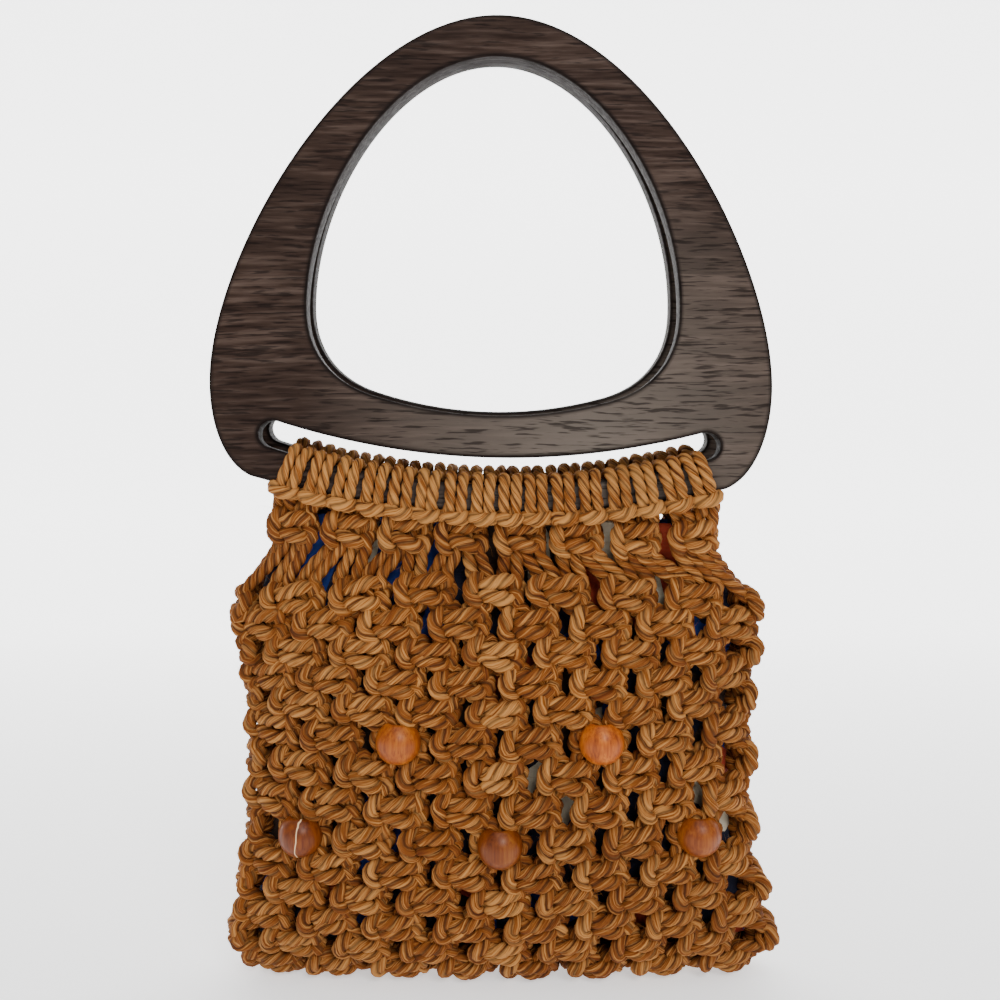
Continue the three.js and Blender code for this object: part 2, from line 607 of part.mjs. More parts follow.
function piece(name, geometry, material) {
  const mesh = new THREE.Mesh(geometry, material);
  mesh.name = name;
  return mesh;
}

const bag = new THREE.Group();
for (const [side, way] of [['front', -1], ['back', 1]]) {
  const hoop = new THREE.Group();
  hoop.add(piece(`${side}_handle`, handlePlate(), WALNUT));
  hoop.add(piece(`${side}_mounting_knots`, mountingKnots(), JUTE));
  hoop.position.set(0, way * PLATE_MIDDLE, -TOP_BAND);
  const leaning = new THREE.Group();
  leaning.add(hoop);
  leaning.position.z = TOP_BAND;
  leaning.rotation.x = way * LEAN;
  const rolled = new THREE.Group();
  rolled.add(leaning);
  rolled.rotation.y = ROLL;
  bag.add(rolled);
}
bag.add(piece('front_net', frontPanel(), JUTE), piece('back_net', backPanel(), JUTE));
for (const bead of BEADS) {
  const { middle, turned } = beadPlace(bead);
  const ball = piece(bead.name, beadBall(), BEAD_WOOD);
  ball.position.copy(middle);
  ball.quaternion.setFromRotationMatrix(turned);
  bag.add(ball);
}
bag.add(piece('lining', liningPouch(), PRINTED_CLOTH));

export default bag;
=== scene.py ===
"""Knotted jute handbag with two wooden hoop handles, five wooden beads and a printed cotton lining.

Sizes are held in millimetres and turned into metres where a mesh is written. +Z is up, the beaded front
looks towards -Y, and the origin is where the bag hangs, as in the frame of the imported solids.
"""

import logging
import math
from dataclasses import dataclass, field
from enum import Enum

import bpy
import numpy as np
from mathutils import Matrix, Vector
from mathutils.geometry import delaunay_2d_cdt


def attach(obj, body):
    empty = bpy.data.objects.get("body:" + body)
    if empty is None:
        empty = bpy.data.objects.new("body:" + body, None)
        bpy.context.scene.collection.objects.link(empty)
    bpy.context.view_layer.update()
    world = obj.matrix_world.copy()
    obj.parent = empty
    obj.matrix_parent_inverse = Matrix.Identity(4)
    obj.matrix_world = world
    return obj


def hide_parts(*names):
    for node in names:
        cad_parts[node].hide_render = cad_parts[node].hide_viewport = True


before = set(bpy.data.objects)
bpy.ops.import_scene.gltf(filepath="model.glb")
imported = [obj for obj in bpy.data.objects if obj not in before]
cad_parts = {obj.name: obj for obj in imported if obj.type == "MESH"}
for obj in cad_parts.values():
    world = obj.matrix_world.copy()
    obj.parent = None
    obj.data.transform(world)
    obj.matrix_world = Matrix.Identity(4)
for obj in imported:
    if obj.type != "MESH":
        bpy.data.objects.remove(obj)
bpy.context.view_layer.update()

LOG = logging.getLogger("bag")
MM = 0.001
CORD = 4.4
SEED = 20
TINY = 1e-9
FULL_TURN = 2 * math.pi


class Side(Enum):
    """The two sides of the bag and the way each one faces along Y."""

    FRONT = -1
    BACK = 1


# Meshes from arrays


@dataclass
class Surface:
    """Points in millimetres, faces of three or four corners, and named values carried by the points."""

    points: np.ndarray
    faces: list[np.ndarray]
    values: dict[str, np.ndarray] = field(default_factory=dict)

    @staticmethod
    def joined(parts: list["Surface"]) -> "Surface":
        """One surface of several, their point numbers moved on by the points before them.

        Args:
            parts: surfaces that carry the same values.

        Returns:
            The joined surface.
        """
        starts = np.cumsum([0] + [len(part.points) for part in parts[:-1]])
        faces = [face + start for part, start in zip(parts, starts) for face in part.faces]
        names = parts[0].values
        values = {name: np.concatenate([part.values[name] for part in parts]) for name in names}
        return Surface(np.concatenate([part.points for part in parts]), faces, values)

    def to_object(self, name: str) -> bpy.types.Object:
        """Writes the surface into a new mesh object at the origin.

        Args:
            name: name of the piece.

        Returns:
            The linked object, smooth shaded.
        """
        mesh = bpy.data.meshes.new(name)
        corners = np.concatenate([face.ravel() for face in self.faces]).astype(np.int32)
        sizes = np.concatenate([np.full(len(face), face.shape[1]) for face in self.faces])
        starts = (np.cumsum(sizes) - sizes).astype(np.int32)
        mesh.vertices.add(len(self.points))
        mesh.vertices.foreach_set("co", (self.points * MM).astype(np.float32).ravel())
        mesh.loops.add(len(corners))
        mesh.loops.foreach_set("vertex_index", corners)
        mesh.polygons.add(len(sizes))
        mesh.polygons.foreach_set("loop_start", starts)
        mesh.polygons.foreach_set("use_smooth", np.ones(len(sizes), bool))
        mesh.update(calc_edges=True)
        mesh.validate()
        for key, value in self.values.items():
            flat = value.ndim == 1
            layer = mesh.attributes.new(key, "FLOAT" if flat else "FLOAT_VECTOR", "POINT")
            layer.data.foreach_set("value" if flat else "vector", value.astype(np.float32).ravel())
        piece = bpy.data.objects.new(name, mesh)
        bpy.context.scene.collection.objects.link(piece)
        return piece


def unit(vectors: np.ndarray) -> np.ndarray:
    """Each row divided by its length."""
    return vectors / np.maximum(np.linalg.norm(vectors, axis=-1, keepdims=True), TINY)


def grid_faces(rows: int, columns: int, start: int = 0) -> np.ndarray:
    """Quads of a grid whose columns close on themselves.

    Args:
        rows: number of rings.
        columns: points in each ring.
        start: number of the first point.

    Returns:
        One row of four point numbers for each quad.
    """
    row, column = np.meshgrid(np.arange(rows - 1), np.arange(columns), indexing="ij")
    after = (column + 1) % columns
    near, far = row * columns, (row + 1) * columns
    corners = [near + column, near + after, far + after, far + column]
    return start + np.stack(corners, axis=-1).reshape(-1, 4)


def spline(points: np.ndarray, per_step: int = 8) -> np.ndarray:
    """Smooth curve through points: cubic pieces, the slope at a point being the mean of the chords on its
    two sides, each weighted by the other's length to the power of a half.

    Args:
        points: the points that the curve passes, each with its three places and the cord's fullness there.
        per_step: samples between two points.

    Returns:
        Points along the curve, with the same four numbers.
    """
    chords = np.diff(points, axis=0)
    shortest = 1e-6
    gaps = np.sqrt(np.linalg.norm(chords[:, :3], axis=1, keepdims=True)) + shortest
    rates = chords / gaps
    inner = (rates[:-1] * gaps[1:] + rates[1:] * gaps[:-1]) / (gaps[1:] + gaps[:-1])
    slopes = np.concatenate([rates[:1], inner, rates[-1:]])
    t = (np.arange(per_step) / per_step)[None, :, None]
    start, end = points[:-1, None], points[1:, None]
    leave, arrive = (gaps * slopes[:-1])[:, None], (gaps * slopes[1:])[:, None]
    curve = ((2 * t**3 - 3 * t**2 + 1) * start + (t**3 - 2 * t**2 + t) * leave
             + (3 * t**2 - 2 * t**3) * end + (t**3 - t**2) * arrive)
    return np.concatenate([curve.reshape(-1, points.shape[1]), points[-1:]])


def evenly(path: np.ndarray, step: float) -> tuple[np.ndarray, np.ndarray]:
    """Stations at equal distances along a path.

    Args:
        path: points of the path, each with its three places and the cord's fullness there.
        step: distance wanted between stations.

    Returns:
        The stations, and how far along the path each one is.
    """
    along = np.concatenate([[0], np.cumsum(np.linalg.norm(np.diff(path[:, :3], axis=0), axis=1))])
    fewest = 4
    marks = np.linspace(0, along[-1], max(fewest, round(along[-1] / step)) + 1)
    stations = np.column_stack([np.interp(marks, along, path[:, axis]) for axis in range(path.shape[1])])
    return stations, marks


def carried_frames(path: np.ndarray) -> tuple[np.ndarray, np.ndarray, np.ndarray]:
    """Directions along and across a path that turn with it and don't spin about it.

    At each station a first direction is the tangent crossed with the axis it is furthest from. Turning that
    direction from one tangent to the next shows how far the next one has slipped, and the sum of the slips is
    taken back out.

    Args:
        path: stations of the path.

    Returns:
        Tangents, normals and binormals.
    """
    tangent = unit(np.gradient(path, axis=0))
    aside = unit(np.cross(tangent, np.eye(3)[np.argmin(np.abs(tangent), axis=1)]))
    beside = np.cross(tangent, aside)
    axis = np.cross(tangent[:-1], tangent[1:])
    cosine = np.sum(tangent[:-1] * tangent[1:], axis=1, keepdims=True)
    reversal = -0.99
    lean = np.sum(axis * aside[:-1], axis=1, keepdims=True) / (1 + np.maximum(cosine, reversal))
    moved = aside[:-1] * cosine + np.cross(axis, aside[:-1]) + axis * lean
    slip = np.arctan2(np.sum(moved * beside[1:], axis=1), np.sum(moved * aside[1:], axis=1))
    angle = np.concatenate([[0], np.cumsum(slip)])[:, None]
    normal = aside * np.cos(angle) + beside * np.sin(angle)
    return tangent, normal, np.cross(tangent, normal)


@dataclass(frozen=True)
class LaidCord:
    """Three-ply jute cord, laid so that its plies slant like the middle of an S."""

    diameter: float = CORD
    lay: float = 21.0
    step: float = 1.6
    groove: float = 0.68
    shoulder: float = 0.93
    fibre_turn: float = 0.1
    fibre_gap: float = 997.0
    # Painted light: how much lighter the cord is painted where it swells on top.
    painted_top_light: float = 0.32
    slow_swell: tuple[float, float, float] = (0.045, 5.3, 40)
    quick_swell: tuple[float, float, float] = (0.03, 2.1, 90)
    tip_share: float = 0.4

    def profile(self) -> tuple[np.ndarray, np.ndarray]:
        """Section of the cord, three plies with a groove between each two.

        Returns:
            Radius round the cord as a share of the full radius, and how deep in a groove each point is.
        """
        ply = np.array([1.0, self.shoulder, self.groove, self.shoulder])
        radius = np.tile(ply, 3)
        return radius, (1 - radius) / (1 - self.groove)

    def along(self, path: np.ndarray, key: float, tone: float) -> Surface:
        """The cord's surface along a path: rings of the profile, turned back with the length run by one turn
        in each lay, and a closing point at both ends.

        Args:
            path: points that the middle of the cord follows, with its fullness there as a fourth number.
            key: start of the turn and of the fibre pattern, different for each cord.
            tone: lightness of this cord, around 0.

        Returns:
            The closed surface with the fibre coordinate, the groove depth and the tone at its points, the
            tone painted lighter where the cord swells on top.
        """
        stations, marks = evenly(path, self.step)
        stations, fullness = stations[:, :3], stations[:, 3]
        tangent, normal, binormal = carried_frames(stations)
        radius, depth = self.profile()
        start = FULL_TURN * (np.arange(len(radius)) / len(radius) + key)
        turned = FULL_TURN * marks[:, None] / self.lay
        around = start - turned
        half = self.diameter / 2
        uneven = 1 + sum(height * np.sin(marks / run + phase * key)
                         for height, run, phase in (self.slow_swell, self.quick_swell))
        reach = half * radius * (uneven * fullness)[:, None]
        cosine, sine = np.cos(around)[..., None], np.sin(around)[..., None]
        points = stations[:, None] + reach[..., None] * (normal[:, None] * cosine + binormal[:, None] * sine)
        count = len(stations)
        size = len(radius)
        ring = np.arange(size)
        after = (ring + 1) % size
        last = (count - 1) * size
        caps = np.concatenate([
            np.column_stack([np.full(size, count * size), after, ring]),
            np.column_stack([np.full(size, count * size + 1), last + ring, last + after]),
        ])
        tip = self.tip_share * half
        ends = np.stack([stations[0] - tangent[0] * tip, stations[-1] + tangent[-1] * tip])
        fibres = start - self.fibre_turn * turned
        run = np.broadcast_to(marks[:, None] + self.fibre_gap * key, fibres.shape)
        fibre = np.stack([np.cos(fibres) * half, np.sin(fibres) * half, run], axis=-1).reshape(-1, 3)
        # Painted light: the tone is lifted where the cord swells, that is where it lies on top.
        tone_with_painted_light = np.repeat(tone + self.painted_top_light * (fullness - 1), size)
        return Surface(np.concatenate([points.reshape(-1, 3), ends]), [grid_faces(count, size), caps], {
            "fibre_place": np.concatenate([fibre, fibre[[0, -1]]]) * MM,
            "groove": np.concatenate([np.tile(depth, count), [0, 0]]),
            "tone": np.concatenate([tone_with_painted_light, [tone, tone]]),
        })


# Body of the bag


@dataclass(frozen=True)
class NetBody:
    """Middle surface of the knotted cords: an ellipse at every level, wider than deep, closed at the bottom.

    A place on it is a cell round the bag, 0 to 16 across the front from the left and 16 to 32 back across
    the rear, and a row of knots from 0 at the top edge to 16 at the bottom seam. The row table gives, for
    each row, its drop as a share of the height, its half width and half depth as shares of the body's, how
    far it still follows the two bars, its bow as a share of the body's, and its slide to the right.
    """

    height: float = 206.0
    half_width: float = 124.0
    half_depth: float = 28.5
    bow: float = 6.0
    cells: int = 16
    top_edge: float = -204.47
    bar_distance: float = 14.2
    tip: float = math.radians(1.6)
    least_half_depth: float = 0.3
    side_rounding: float = 5.0
    quarter_steps: int = 40
    drops: tuple[float, ...] = (
        0, .028, .138, .208, .275, .338, .399, .462, .535, .608, .681, .748, .809, .869, .926, .980, 1.02)
    widths: tuple[float, ...] = (
        .80, .82, .92, .94, .91, .90, .89, .89, .89, .90, .90, .92, .94, .96, .975, .955, .88)
    necks: tuple[float, ...] = (1, .9, 0, 0, 0, 0, 0, 0, 0, 0, 0, 0, 0, 0, 0, 0, 0)
    bellies: tuple[float, ...] = (0, .1, .72, .81, .88, .93, .97, .99, 1, 1, 1, .97, .92, .84, .7, .45, 0)
    bows: tuple[float, ...] = (0, .6, -1.5, -.6, 0, .4, .7, .6, .5, .3, .2, .1, 0, 0, 0, 0, .2)
    slides: tuple[float, ...] = (-3.5, -2.8, -2.2, -1.7, -1.2, -.8, -.4, 0, 0, 0, 0, 0, 0, .4, .4, .4, .4)

    @property
    def last_row(self) -> int:
        """Number of the bottom row."""
        return len(self.drops) - 1

    @property
    def round_cells(self) -> int:
        """Cells once round the bag."""
        return 2 * self.cells

    def at_row(self, column: tuple[float, ...], row: np.ndarray) -> np.ndarray:
        """A column of the row table, read in a straight line between two rows."""
        return np.interp(row, np.arange(len(column)), column)

    def place(self, cell: np.ndarray, row: np.ndarray, inset: float | np.ndarray = 0.0) -> np.ndarray:
        """Points of the surface, drawn in by an inset.

        The angle on the ellipse is the one that has run the cell's share of a quarter's length, found by
        adding up short steps of the quarter.

        Args:
            cell: cells round the bag.
            row: rows down it.
            inset: distance inwards.

        Returns:
            Points in millimetres.
        """
        cell, row, inset = np.broadcast_arrays(np.asarray(cell, float), np.asarray(row, float), inset)
        cell, row, inset = np.mod(cell.ravel(), self.round_cells), row.ravel(), inset.ravel()
        facing = np.where(cell > self.cells, 1.0, -1.0)
        across = np.where(cell > self.cells, self.round_cells - cell, cell) * 2 / self.cells - 1
        half_width = self.at_row(self.widths, row) * self.half_width - inset
        neck = self.at_row(self.necks, row)
        full_depth = self.at_row(self.bellies, row) * self.half_depth
        half_depth = np.maximum(full_depth - inset * (1 - neck), self.least_half_depth)
        steps = self.quarter_steps
        middles = (np.arange(steps) + 0.5) / steps * math.pi / 2
        rates = np.hypot(half_width[:, None] * np.cos(middles), half_depth[:, None] * np.sin(middles))
        run = np.concatenate([np.zeros((len(cell), 1)), np.cumsum(rates, axis=1)], axis=1)
        run /= run[:, -1:]
        share = np.abs(across)[:, None]
        step = np.clip(np.sum(run < share, axis=1) - 1, 0, steps - 1)
        low = np.take_along_axis(run, step[:, None], axis=1)[:, 0]
        high = np.take_along_axis(run, step[:, None] + 1, axis=1)[:, 0]
        angle = np.sign(across) * (step + (share[:, 0] - low) / (high - low)) / steps * math.pi / 2
        x = half_width * np.sin(angle)
        aside = neck * (self.bar_distance - inset) * np.clip(self.side_rounding * np.cos(angle), 0, 1)
        y = facing * (aside + half_depth * np.cos(angle))
        edge = self.top_edge - neck * np.sin(self.tip) * x
        bowed = self.at_row(self.bows, row) * self.bow * across**2
        z = edge - self.at_row(self.drops, row) * self.height + bowed
        return np.stack([x + self.at_row(self.slides, row), y, z], axis=-1)

    def directions(self, cell: np.ndarray, row: np.ndarray) -> tuple[np.ndarray, np.ndarray, np.ndarray]:
        """Directions across, down and out of the surface, from places a quarter step to each side.

        Args:
            cell: cells round the bag.
            row: rows down it.

        Returns:
            The three directions at each place.
        """
        reach = 0.25
        row = np.clip(row, reach, self.last_row - reach)
        right = unit(self.place(cell + reach, row) - self.place(cell - reach, row))
        down = unit(self.place(cell, row + reach) - self.place(cell, row - reach))
        out = unit(np.cross(down, right))
        return right, unit(np.cross(right, out)), out

    def pitch(self, row: int) -> float:
        """Mean height in millimetres between a row and its neighbours above and below."""
        return (self.drops[row + 1] - self.drops[row - 1]) / 2 * self.height


class Role(Enum):
    """What a cord does in one square knot, in order from left to right."""

    LEFT_WORKER = 0
    LEFT_CORE = 1
    RIGHT_CORE = 2
    RIGHT_WORKER = 3


# Points of each cord in one knot, across it, down it and out of it, in cord diameters
KNOT_PATHS: dict[Role, tuple[tuple[float, float, float], ...]] = {
    Role.LEFT_WORKER: (
        (-1.75, -1.25, 0), (-1.55, -.85, .05), (-.95, -.52, .7), (0, -.62, 1), (.95, -.84, .8),
        (1.6, -.8, .1), (2.05, -.2, -.3), (1.9, .3, -.2), (1.55, .62, .1), (.95, .8, .75), (0, .62, 1),
        (-.95, .42, .7), (-1.5, .6, 0), (-1.75, 1.25, -.1)),
    Role.LEFT_CORE: ((-.5, -1.25, 0), (-.5, -.5, -.05), (-.5, .5, -.05), (-.5, 1.25, 0)),
    Role.RIGHT_CORE: ((.5, -1.25, 0), (.5, -.5, -.05), (.5, .5, -.05), (.5, 1.25, 0)),
    Role.RIGHT_WORKER: (
        (1.7, -1.25, .15), (1.8, -.8, .4), (1.45, -.3, 0), (.8, -.3, -.8), (0, -.6, -1), (-.8, -1, -.8),
        (-1.3, -1.2, 0), (-1.75, -.95, .85), (-2.1, -.35, 1.05), (-2.15, .3, 1), (-1.8, .9, .75),
        (-1.3, 1.2, -.1), (-.8, 1, -.8), (0, .65, -1), (.8, .3, -.8), (1.45, .15, 0), (1.85, .5, .4),
        (1.75, 1.1, .15)),
}
BEAD_PATHS: dict[Role, tuple[tuple[float, float, float], ...]] = {
    Role.LEFT_WORKER: (
        (-1.9, -1.3, -.2), (-2.45, -.5, -.4), (-2.6, 0, -.5), (-2.45, .5, -.4), (-1.9, 1.3, -.2)),
    Role.LEFT_CORE: (
        (-.75, -2.3, .35), (-.42, -1.9, .55), (-.4, -.8, .57), (-.4, .8, .57), (-.42, 1.9, .55),
        (-.75, 2.3, .35)),
    Role.RIGHT_CORE: (
        (.75, -2.3, .35), (.42, -1.9, .55), (.4, -.8, .57), (.4, .8, .57), (.42, 1.9, .55), (.75, 2.3, .35)),
    Role.RIGHT_WORKER: (
        (1.9, -1.3, -.2), (2.45, -.5, -.4), (2.6, 0, -.5), (2.45, .5, -.4), (1.9, 1.3, -.2)),
}


# Finishes


@dataclass
class Graph:
    """Nodes of one material or shader group, added and joined in one call each."""

    tree: bpy.types.NodeTree

    def join(self, source: bpy.types.NodeSocket, target: bpy.types.NodeSocket) -> None:
        """Links an output to an input."""
        self.tree.links.new(source, target)

    def add(self, kind: str, inputs: dict[str | int, object] | None = None,
            **settings: object) -> bpy.types.Node:
        """Adds a node.

        Args:
            kind: Blender's name of the node type, without ShaderNode in front.
            inputs: a value, or another node's output, for each named or numbered input.
            settings: properties of the node.

        Returns:
            The node.
        """
        node = self.tree.nodes.new("ShaderNode" + kind)
        for key, value in settings.items():
            setattr(node, key, value)
        self.fill(node, inputs or {})
        return node

    def fill(self, node: bpy.types.Node, inputs: dict[str | int, object]) -> None:
        """Gives each named or numbered input of a node its value, or joins it to another node's output."""
        for key, value in inputs.items():
            if isinstance(value, bpy.types.NodeSocket):
                self.join(value, node.inputs[key])
            else:
                node.inputs[key].default_value = value

    def attribute(self, name: str, output: str = "Fac") -> bpy.types.NodeSocket:
        """A value or vector that the mesh carries."""
        return self.add("Attribute", attribute_name=name).outputs[output]

    def times(self, first: object, second: object) -> bpy.types.NodeSocket:
        """Product of two values."""
        return self.math("MULTIPLY", first, second)

    def sum_of(self, *parts: tuple[object, float]) -> bpy.types.NodeSocket:
        """Sum of two values, each times its share."""
        return self.math("ADD", *(self.times(value, share) for value, share in parts))

    def relief(self, shader: bpy.types.Node, height: object, strength: float, distance: float) -> None:
        """Joins a bump of some height in metres to the shader."""
        bump = self.add("Bump", {"Height": height, "Strength": strength, "Distance": distance})
        self.join(bump.outputs[0], shader.inputs["Normal"])

    def noise(self, place: bpy.types.NodeSocket, stretch: tuple[float, float, float], detail: float = 2.0,
              shift: tuple[float, float, float] = (0, 0, 0)) -> bpy.types.NodeSocket:
        """Noise on a place whose axes are scaled first, each value being repeats in a metre."""
        mapped = self.add("Mapping", {"Vector": place, "Scale": stretch, "Location": shift}).outputs[0]
        return self.add("TexNoise", {"Vector": mapped, "Scale": 1.0, "Detail": detail}).outputs["Fac"]

    def ramp(self, value: bpy.types.NodeSocket, stops: list[tuple[float, tuple[float, float, float]]],
             steps: bool = False) -> bpy.types.NodeSocket:
        """Colours for a value from 0 to 1.

        Args:
            value: the value.
            stops: places and their colours.
            steps: whether the colour changes at each stop instead of blending from one to the next.

        Returns:
            The colour.
        """
        node = self.add("ValToRGB", {"Fac": value})
        ramp = node.color_ramp
        ramp.interpolation = "CONSTANT" if steps else "LINEAR"
        while len(ramp.elements) < len(stops):
            ramp.elements.new(0.5)
        for element, (at, colour) in zip(ramp.elements, stops):
            element.position = at
            element.color = (*colour, 1.0)
        return node.outputs["Color"]

    def math(self, operation: str, *values: object) -> bpy.types.NodeSocket:
        """One arithmetic step on values or sockets, kept between 0 and 1 only where the step does so."""
        return self.add("Math", dict(enumerate(values)), operation=operation).outputs[0]

    def blend(self, mode: str, share: object, first: object, second: object) -> bpy.types.NodeSocket:
        """Two colours blended in a mode by a share.

        Args:
            mode: Blender's name of the mode.
            share: share of the second colour.
            first: the colour below.
            second: the colour on top.

        Returns:
            The blended colour.
        """
        node = self.add("Mix", data_type="RGBA", blend_type=mode, clamp_result=True)
        share_input, first_input, second_input, colour_output = 0, 6, 7, 2
        self.fill(node, {share_input: share, first_input: first, second_input: second})
        return node.outputs[colour_output]

    def between(self, value: object, low: float, high: float, out_low: float = 0.0,
                out_high: float = 1.0) -> bpy.types.NodeSocket:
        """A value moved from one range to another and held inside it."""
        limits = {"From Min": low, "From Max": high, "To Min": out_low, "To Max": out_high}
        return self.add("MapRange", {"Value": value, **limits}).outputs[0]


class SharedEffects:
    """Shader groups that more than one finish uses, each built once. Repeats are in a metre."""

    SWAY_REPEATS = (9, 30, 30)
    SWAY_HEIGHT = 0.006
    FIGURE_REPEATS = (6, 90, 90)
    STREAK_REPEATS = (38, 560, 560)
    PORE_REPEATS = (75, 880, 880)
    STREAK_SHIFT = (3.1, 1.7, 0.4)
    PORE_SHIFT = (7.3, 2.9, 5.2)
    PORE_LIMITS = (0.54, 0.64)

    def __init__(self) -> None:
        """Builds the groups."""
        self.grain = self.wood_grain()
        self.drift = self.tone_drift()

    @staticmethod
    def new_group(name: str, inputs: list[tuple[str, str]], outputs: list[tuple[str, str]]
                  ) -> tuple[bpy.types.NodeTree, Graph, bpy.types.Node, bpy.types.Node]:
        """An empty group with its sockets.

        Args:
            name: name of the group.
            inputs: names and kinds of the inputs.
            outputs: names and kinds of the outputs.

        Returns:
            The group, its graph, and its input and output nodes.
        """
        tree = bpy.data.node_groups.new(name, "ShaderNodeTree")
        for key, kind in inputs:
            tree.interface.new_socket(key, in_out="INPUT", socket_type="NodeSocket" + kind)
        for key, kind in outputs:
            tree.interface.new_socket(key, in_out="OUTPUT", socket_type="NodeSocket" + kind)
        entry = tree.nodes.new("NodeGroupInput")
        leave = tree.nodes.new("NodeGroupOutput")
        return tree, Graph(tree), entry, leave

    def wood_grain(self) -> bpy.types.NodeTree:
        """Wood grain that runs along X of its place: broad figure, fine streaks and short dark pores.

        Returns:
            The group.
        """
        tree, graph, entry, leave = self.new_group(
            "wood_grain", [("Place", "Vector"), ("Fineness", "Float")],
            [("Figure", "Float"), ("Streaks", "Float"), ("Pores", "Float")])
        scaled = graph.add("VectorMath", {0: entry.outputs["Place"]}, operation="SCALE")
        graph.join(entry.outputs["Fineness"], scaled.inputs["Scale"])
        place = scaled.outputs[0]
        sway = graph.noise(place, self.SWAY_REPEATS, 2.0)
        bent = graph.add("CombineXYZ", {"Z": graph.times(sway, self.SWAY_HEIGHT)}).outputs[0]
        place = graph.add("VectorMath", {0: place, 1: bent}, operation="ADD").outputs[0]
        figure = graph.noise(place, self.FIGURE_REPEATS, 3.0)
        streaks = graph.noise(place, self.STREAK_REPEATS, 4.0, self.STREAK_SHIFT)
        pores = graph.between(graph.noise(place, self.PORE_REPEATS, 2.0, self.PORE_SHIFT), *self.PORE_LIMITS)
        for key, value in (("Figure", figure), ("Streaks", streaks), ("Pores", pores)):
            graph.join(value, leave.inputs[key])
        return tree

    def tone_drift(self) -> bpy.types.NodeTree:
        """Slow change of lightness over a surface, as from handling and dye, around 1.

        Returns:
            The group.
        """
        tree, graph, entry, leave = self.new_group(
            "tone_drift", [("Place", "Vector"), ("Size", "Float"), ("Amount", "Float")], [("Tone", "Float")])
        middle = 0.5
        node = graph.add("TexNoise", {"Vector": entry.outputs["Place"], "Detail": 2.0})
        graph.join(entry.outputs["Size"], node.inputs["Scale"])
        swing = graph.times(graph.math("SUBTRACT", node.outputs["Fac"], middle), entry.outputs["Amount"])
        graph.join(graph.math("ADD", swing, 1.0), leave.inputs["Tone"])
        return tree


def new_material(name: str) -> tuple[bpy.types.Material, Graph, bpy.types.Node]:
    """An empty node material.

    Args:
        name: name of the material.

    Returns:
        The material, its graph and its shader node.
    """
    material = bpy.data.materials.new(name)
    material.use_nodes = True
    material.node_tree.nodes.clear()
    graph = Graph(material.node_tree)
    shader = graph.add("BsdfPrincipled")
    graph.add("OutputMaterial", {"Surface": shader.outputs[0]})
    return material, graph, shader


def group_node(graph: Graph, group: bpy.types.NodeTree, inputs: dict[str, object]) -> bpy.types.Node:
    """Places a shader group in a graph.

    Args:
        graph: graph of a material.
        group: the shared group.
        inputs: values or outputs for the group's inputs.

    Returns:
        The group's node.
    """
    node = graph.tree.nodes.new("ShaderNodeGroup")
    node.node_tree = group
    graph.fill(node, inputs)
    return node


@dataclass(frozen=True)
class StainedWalnut:
    """Dark stained wood of the handles, its grain running across, blackened along the edges (partly the
    wood's own dark edge, partly painted shade on the side walls), and with a painted sheen: a paler patch
    round the bar."""

    pore: tuple[float, float, float] = (0.0040, 0.0018, 0.0013)
    dark: tuple[float, float, float] = (0.0120, 0.0060, 0.0042)
    middle: tuple[float, float, float] = (0.0300, 0.0172, 0.0125)
    light: tuple[float, float, float] = (0.0680, 0.0450, 0.0350)
    # Painted sheen: colour, place, reach and share of the paler patch that paints the light's reflection
    # round the bar.
    painted_sheen_colour: tuple[float, float, float] = (0.1300, 0.1080, 0.0900)
    painted_sheen_place: tuple[float, float, float] = (0.040, 0.0, -0.175)
    painted_sheen_reach: float = 0.130
    painted_sheen_share: float = 0.78
    pore_share: float = 0.7
    figure_share: float = 0.42
    stops: tuple[float, float, float] = (0.34, 0.50, 0.66)
    drift_repeats: float = 14.0
    drift_amount: float = 0.55
    # Dark edge: partly the wood's own dark edge, partly painted shade on the side walls of the opening and
    # slot.
    dark_edge_and_shade_range: tuple[float, float] = (0.75, 1.0)
    roughness: tuple[float, float] = (0.72, 0.54)
    relief: tuple[float, float] = (0.35, 0.00035)
    shine: float = 0.08

    def build(self, effects: SharedEffects) -> bpy.types.Material:
        """Builds the material from the shared grain.

        Args:
            effects: the shared groups.

        Returns:
            The material, on the handle's own edge attribute.
        """
        material, graph, shader = new_material("stained_walnut")
        place = graph.add("TexCoord").outputs["Object"]
        grain = group_node(graph, effects.grain, {"Place": place, "Fineness": 1.0}).outputs
        drift = group_node(graph, effects.drift,
                           {"Place": place, "Size": self.drift_repeats, "Amount": self.drift_amount})
        mixed = graph.sum_of((grain["Figure"], self.figure_share), (grain["Streaks"], 1 - self.figure_share))
        colour = graph.ramp(mixed, list(zip(self.stops, (self.dark, self.middle, self.light))))
        colour = graph.blend("MULTIPLY", 1.0, colour, drift.outputs["Tone"])
        # Painted sheen: a paler spherical patch round the bar, right of the middle, stands in for the light's
        # reflection on the wood.
        reach = (self.painted_sheen_reach, 1.0, self.painted_sheen_reach)
        near = graph.add("Mapping", {"Vector": place, "Location": self.painted_sheen_place, "Scale": reach},
                         vector_type="TEXTURE")
        pale = graph.add("TexGradient", {0: near.outputs[0]}, gradient_type="SPHERICAL").outputs["Fac"]
        colour = graph.blend("MIX", graph.times(pale, self.painted_sheen_share), colour, (*self.painted_sheen_colour, 1))
        colour = graph.blend("MIX", graph.times(grain["Pores"], self.pore_share), colour, (*self.pore, 1))
        # Darkening on the round-overs and side walls: partly the wood's own dark edge, partly painted shade
        # in the opening and slot.
        dark_edge_and_shade = graph.between(grain["Figure"], 0.3, 0.7, *self.dark_edge_and_shade_range)
        colour = graph.blend("MIX", graph.times(graph.attribute("edge"), dark_edge_and_shade), colour, (*self.pore, 1))
        graph.join(colour, shader.inputs["Base Color"])
        graph.join(graph.between(grain["Streaks"], 0.35, 0.65, *self.roughness), shader.inputs["Roughness"])
        graph.relief(shader, graph.math("SUBTRACT", grain["Streaks"], grain["Pores"]), *self.relief)
        shader.inputs["Specular IOR Level"].default_value = self.shine
        return material


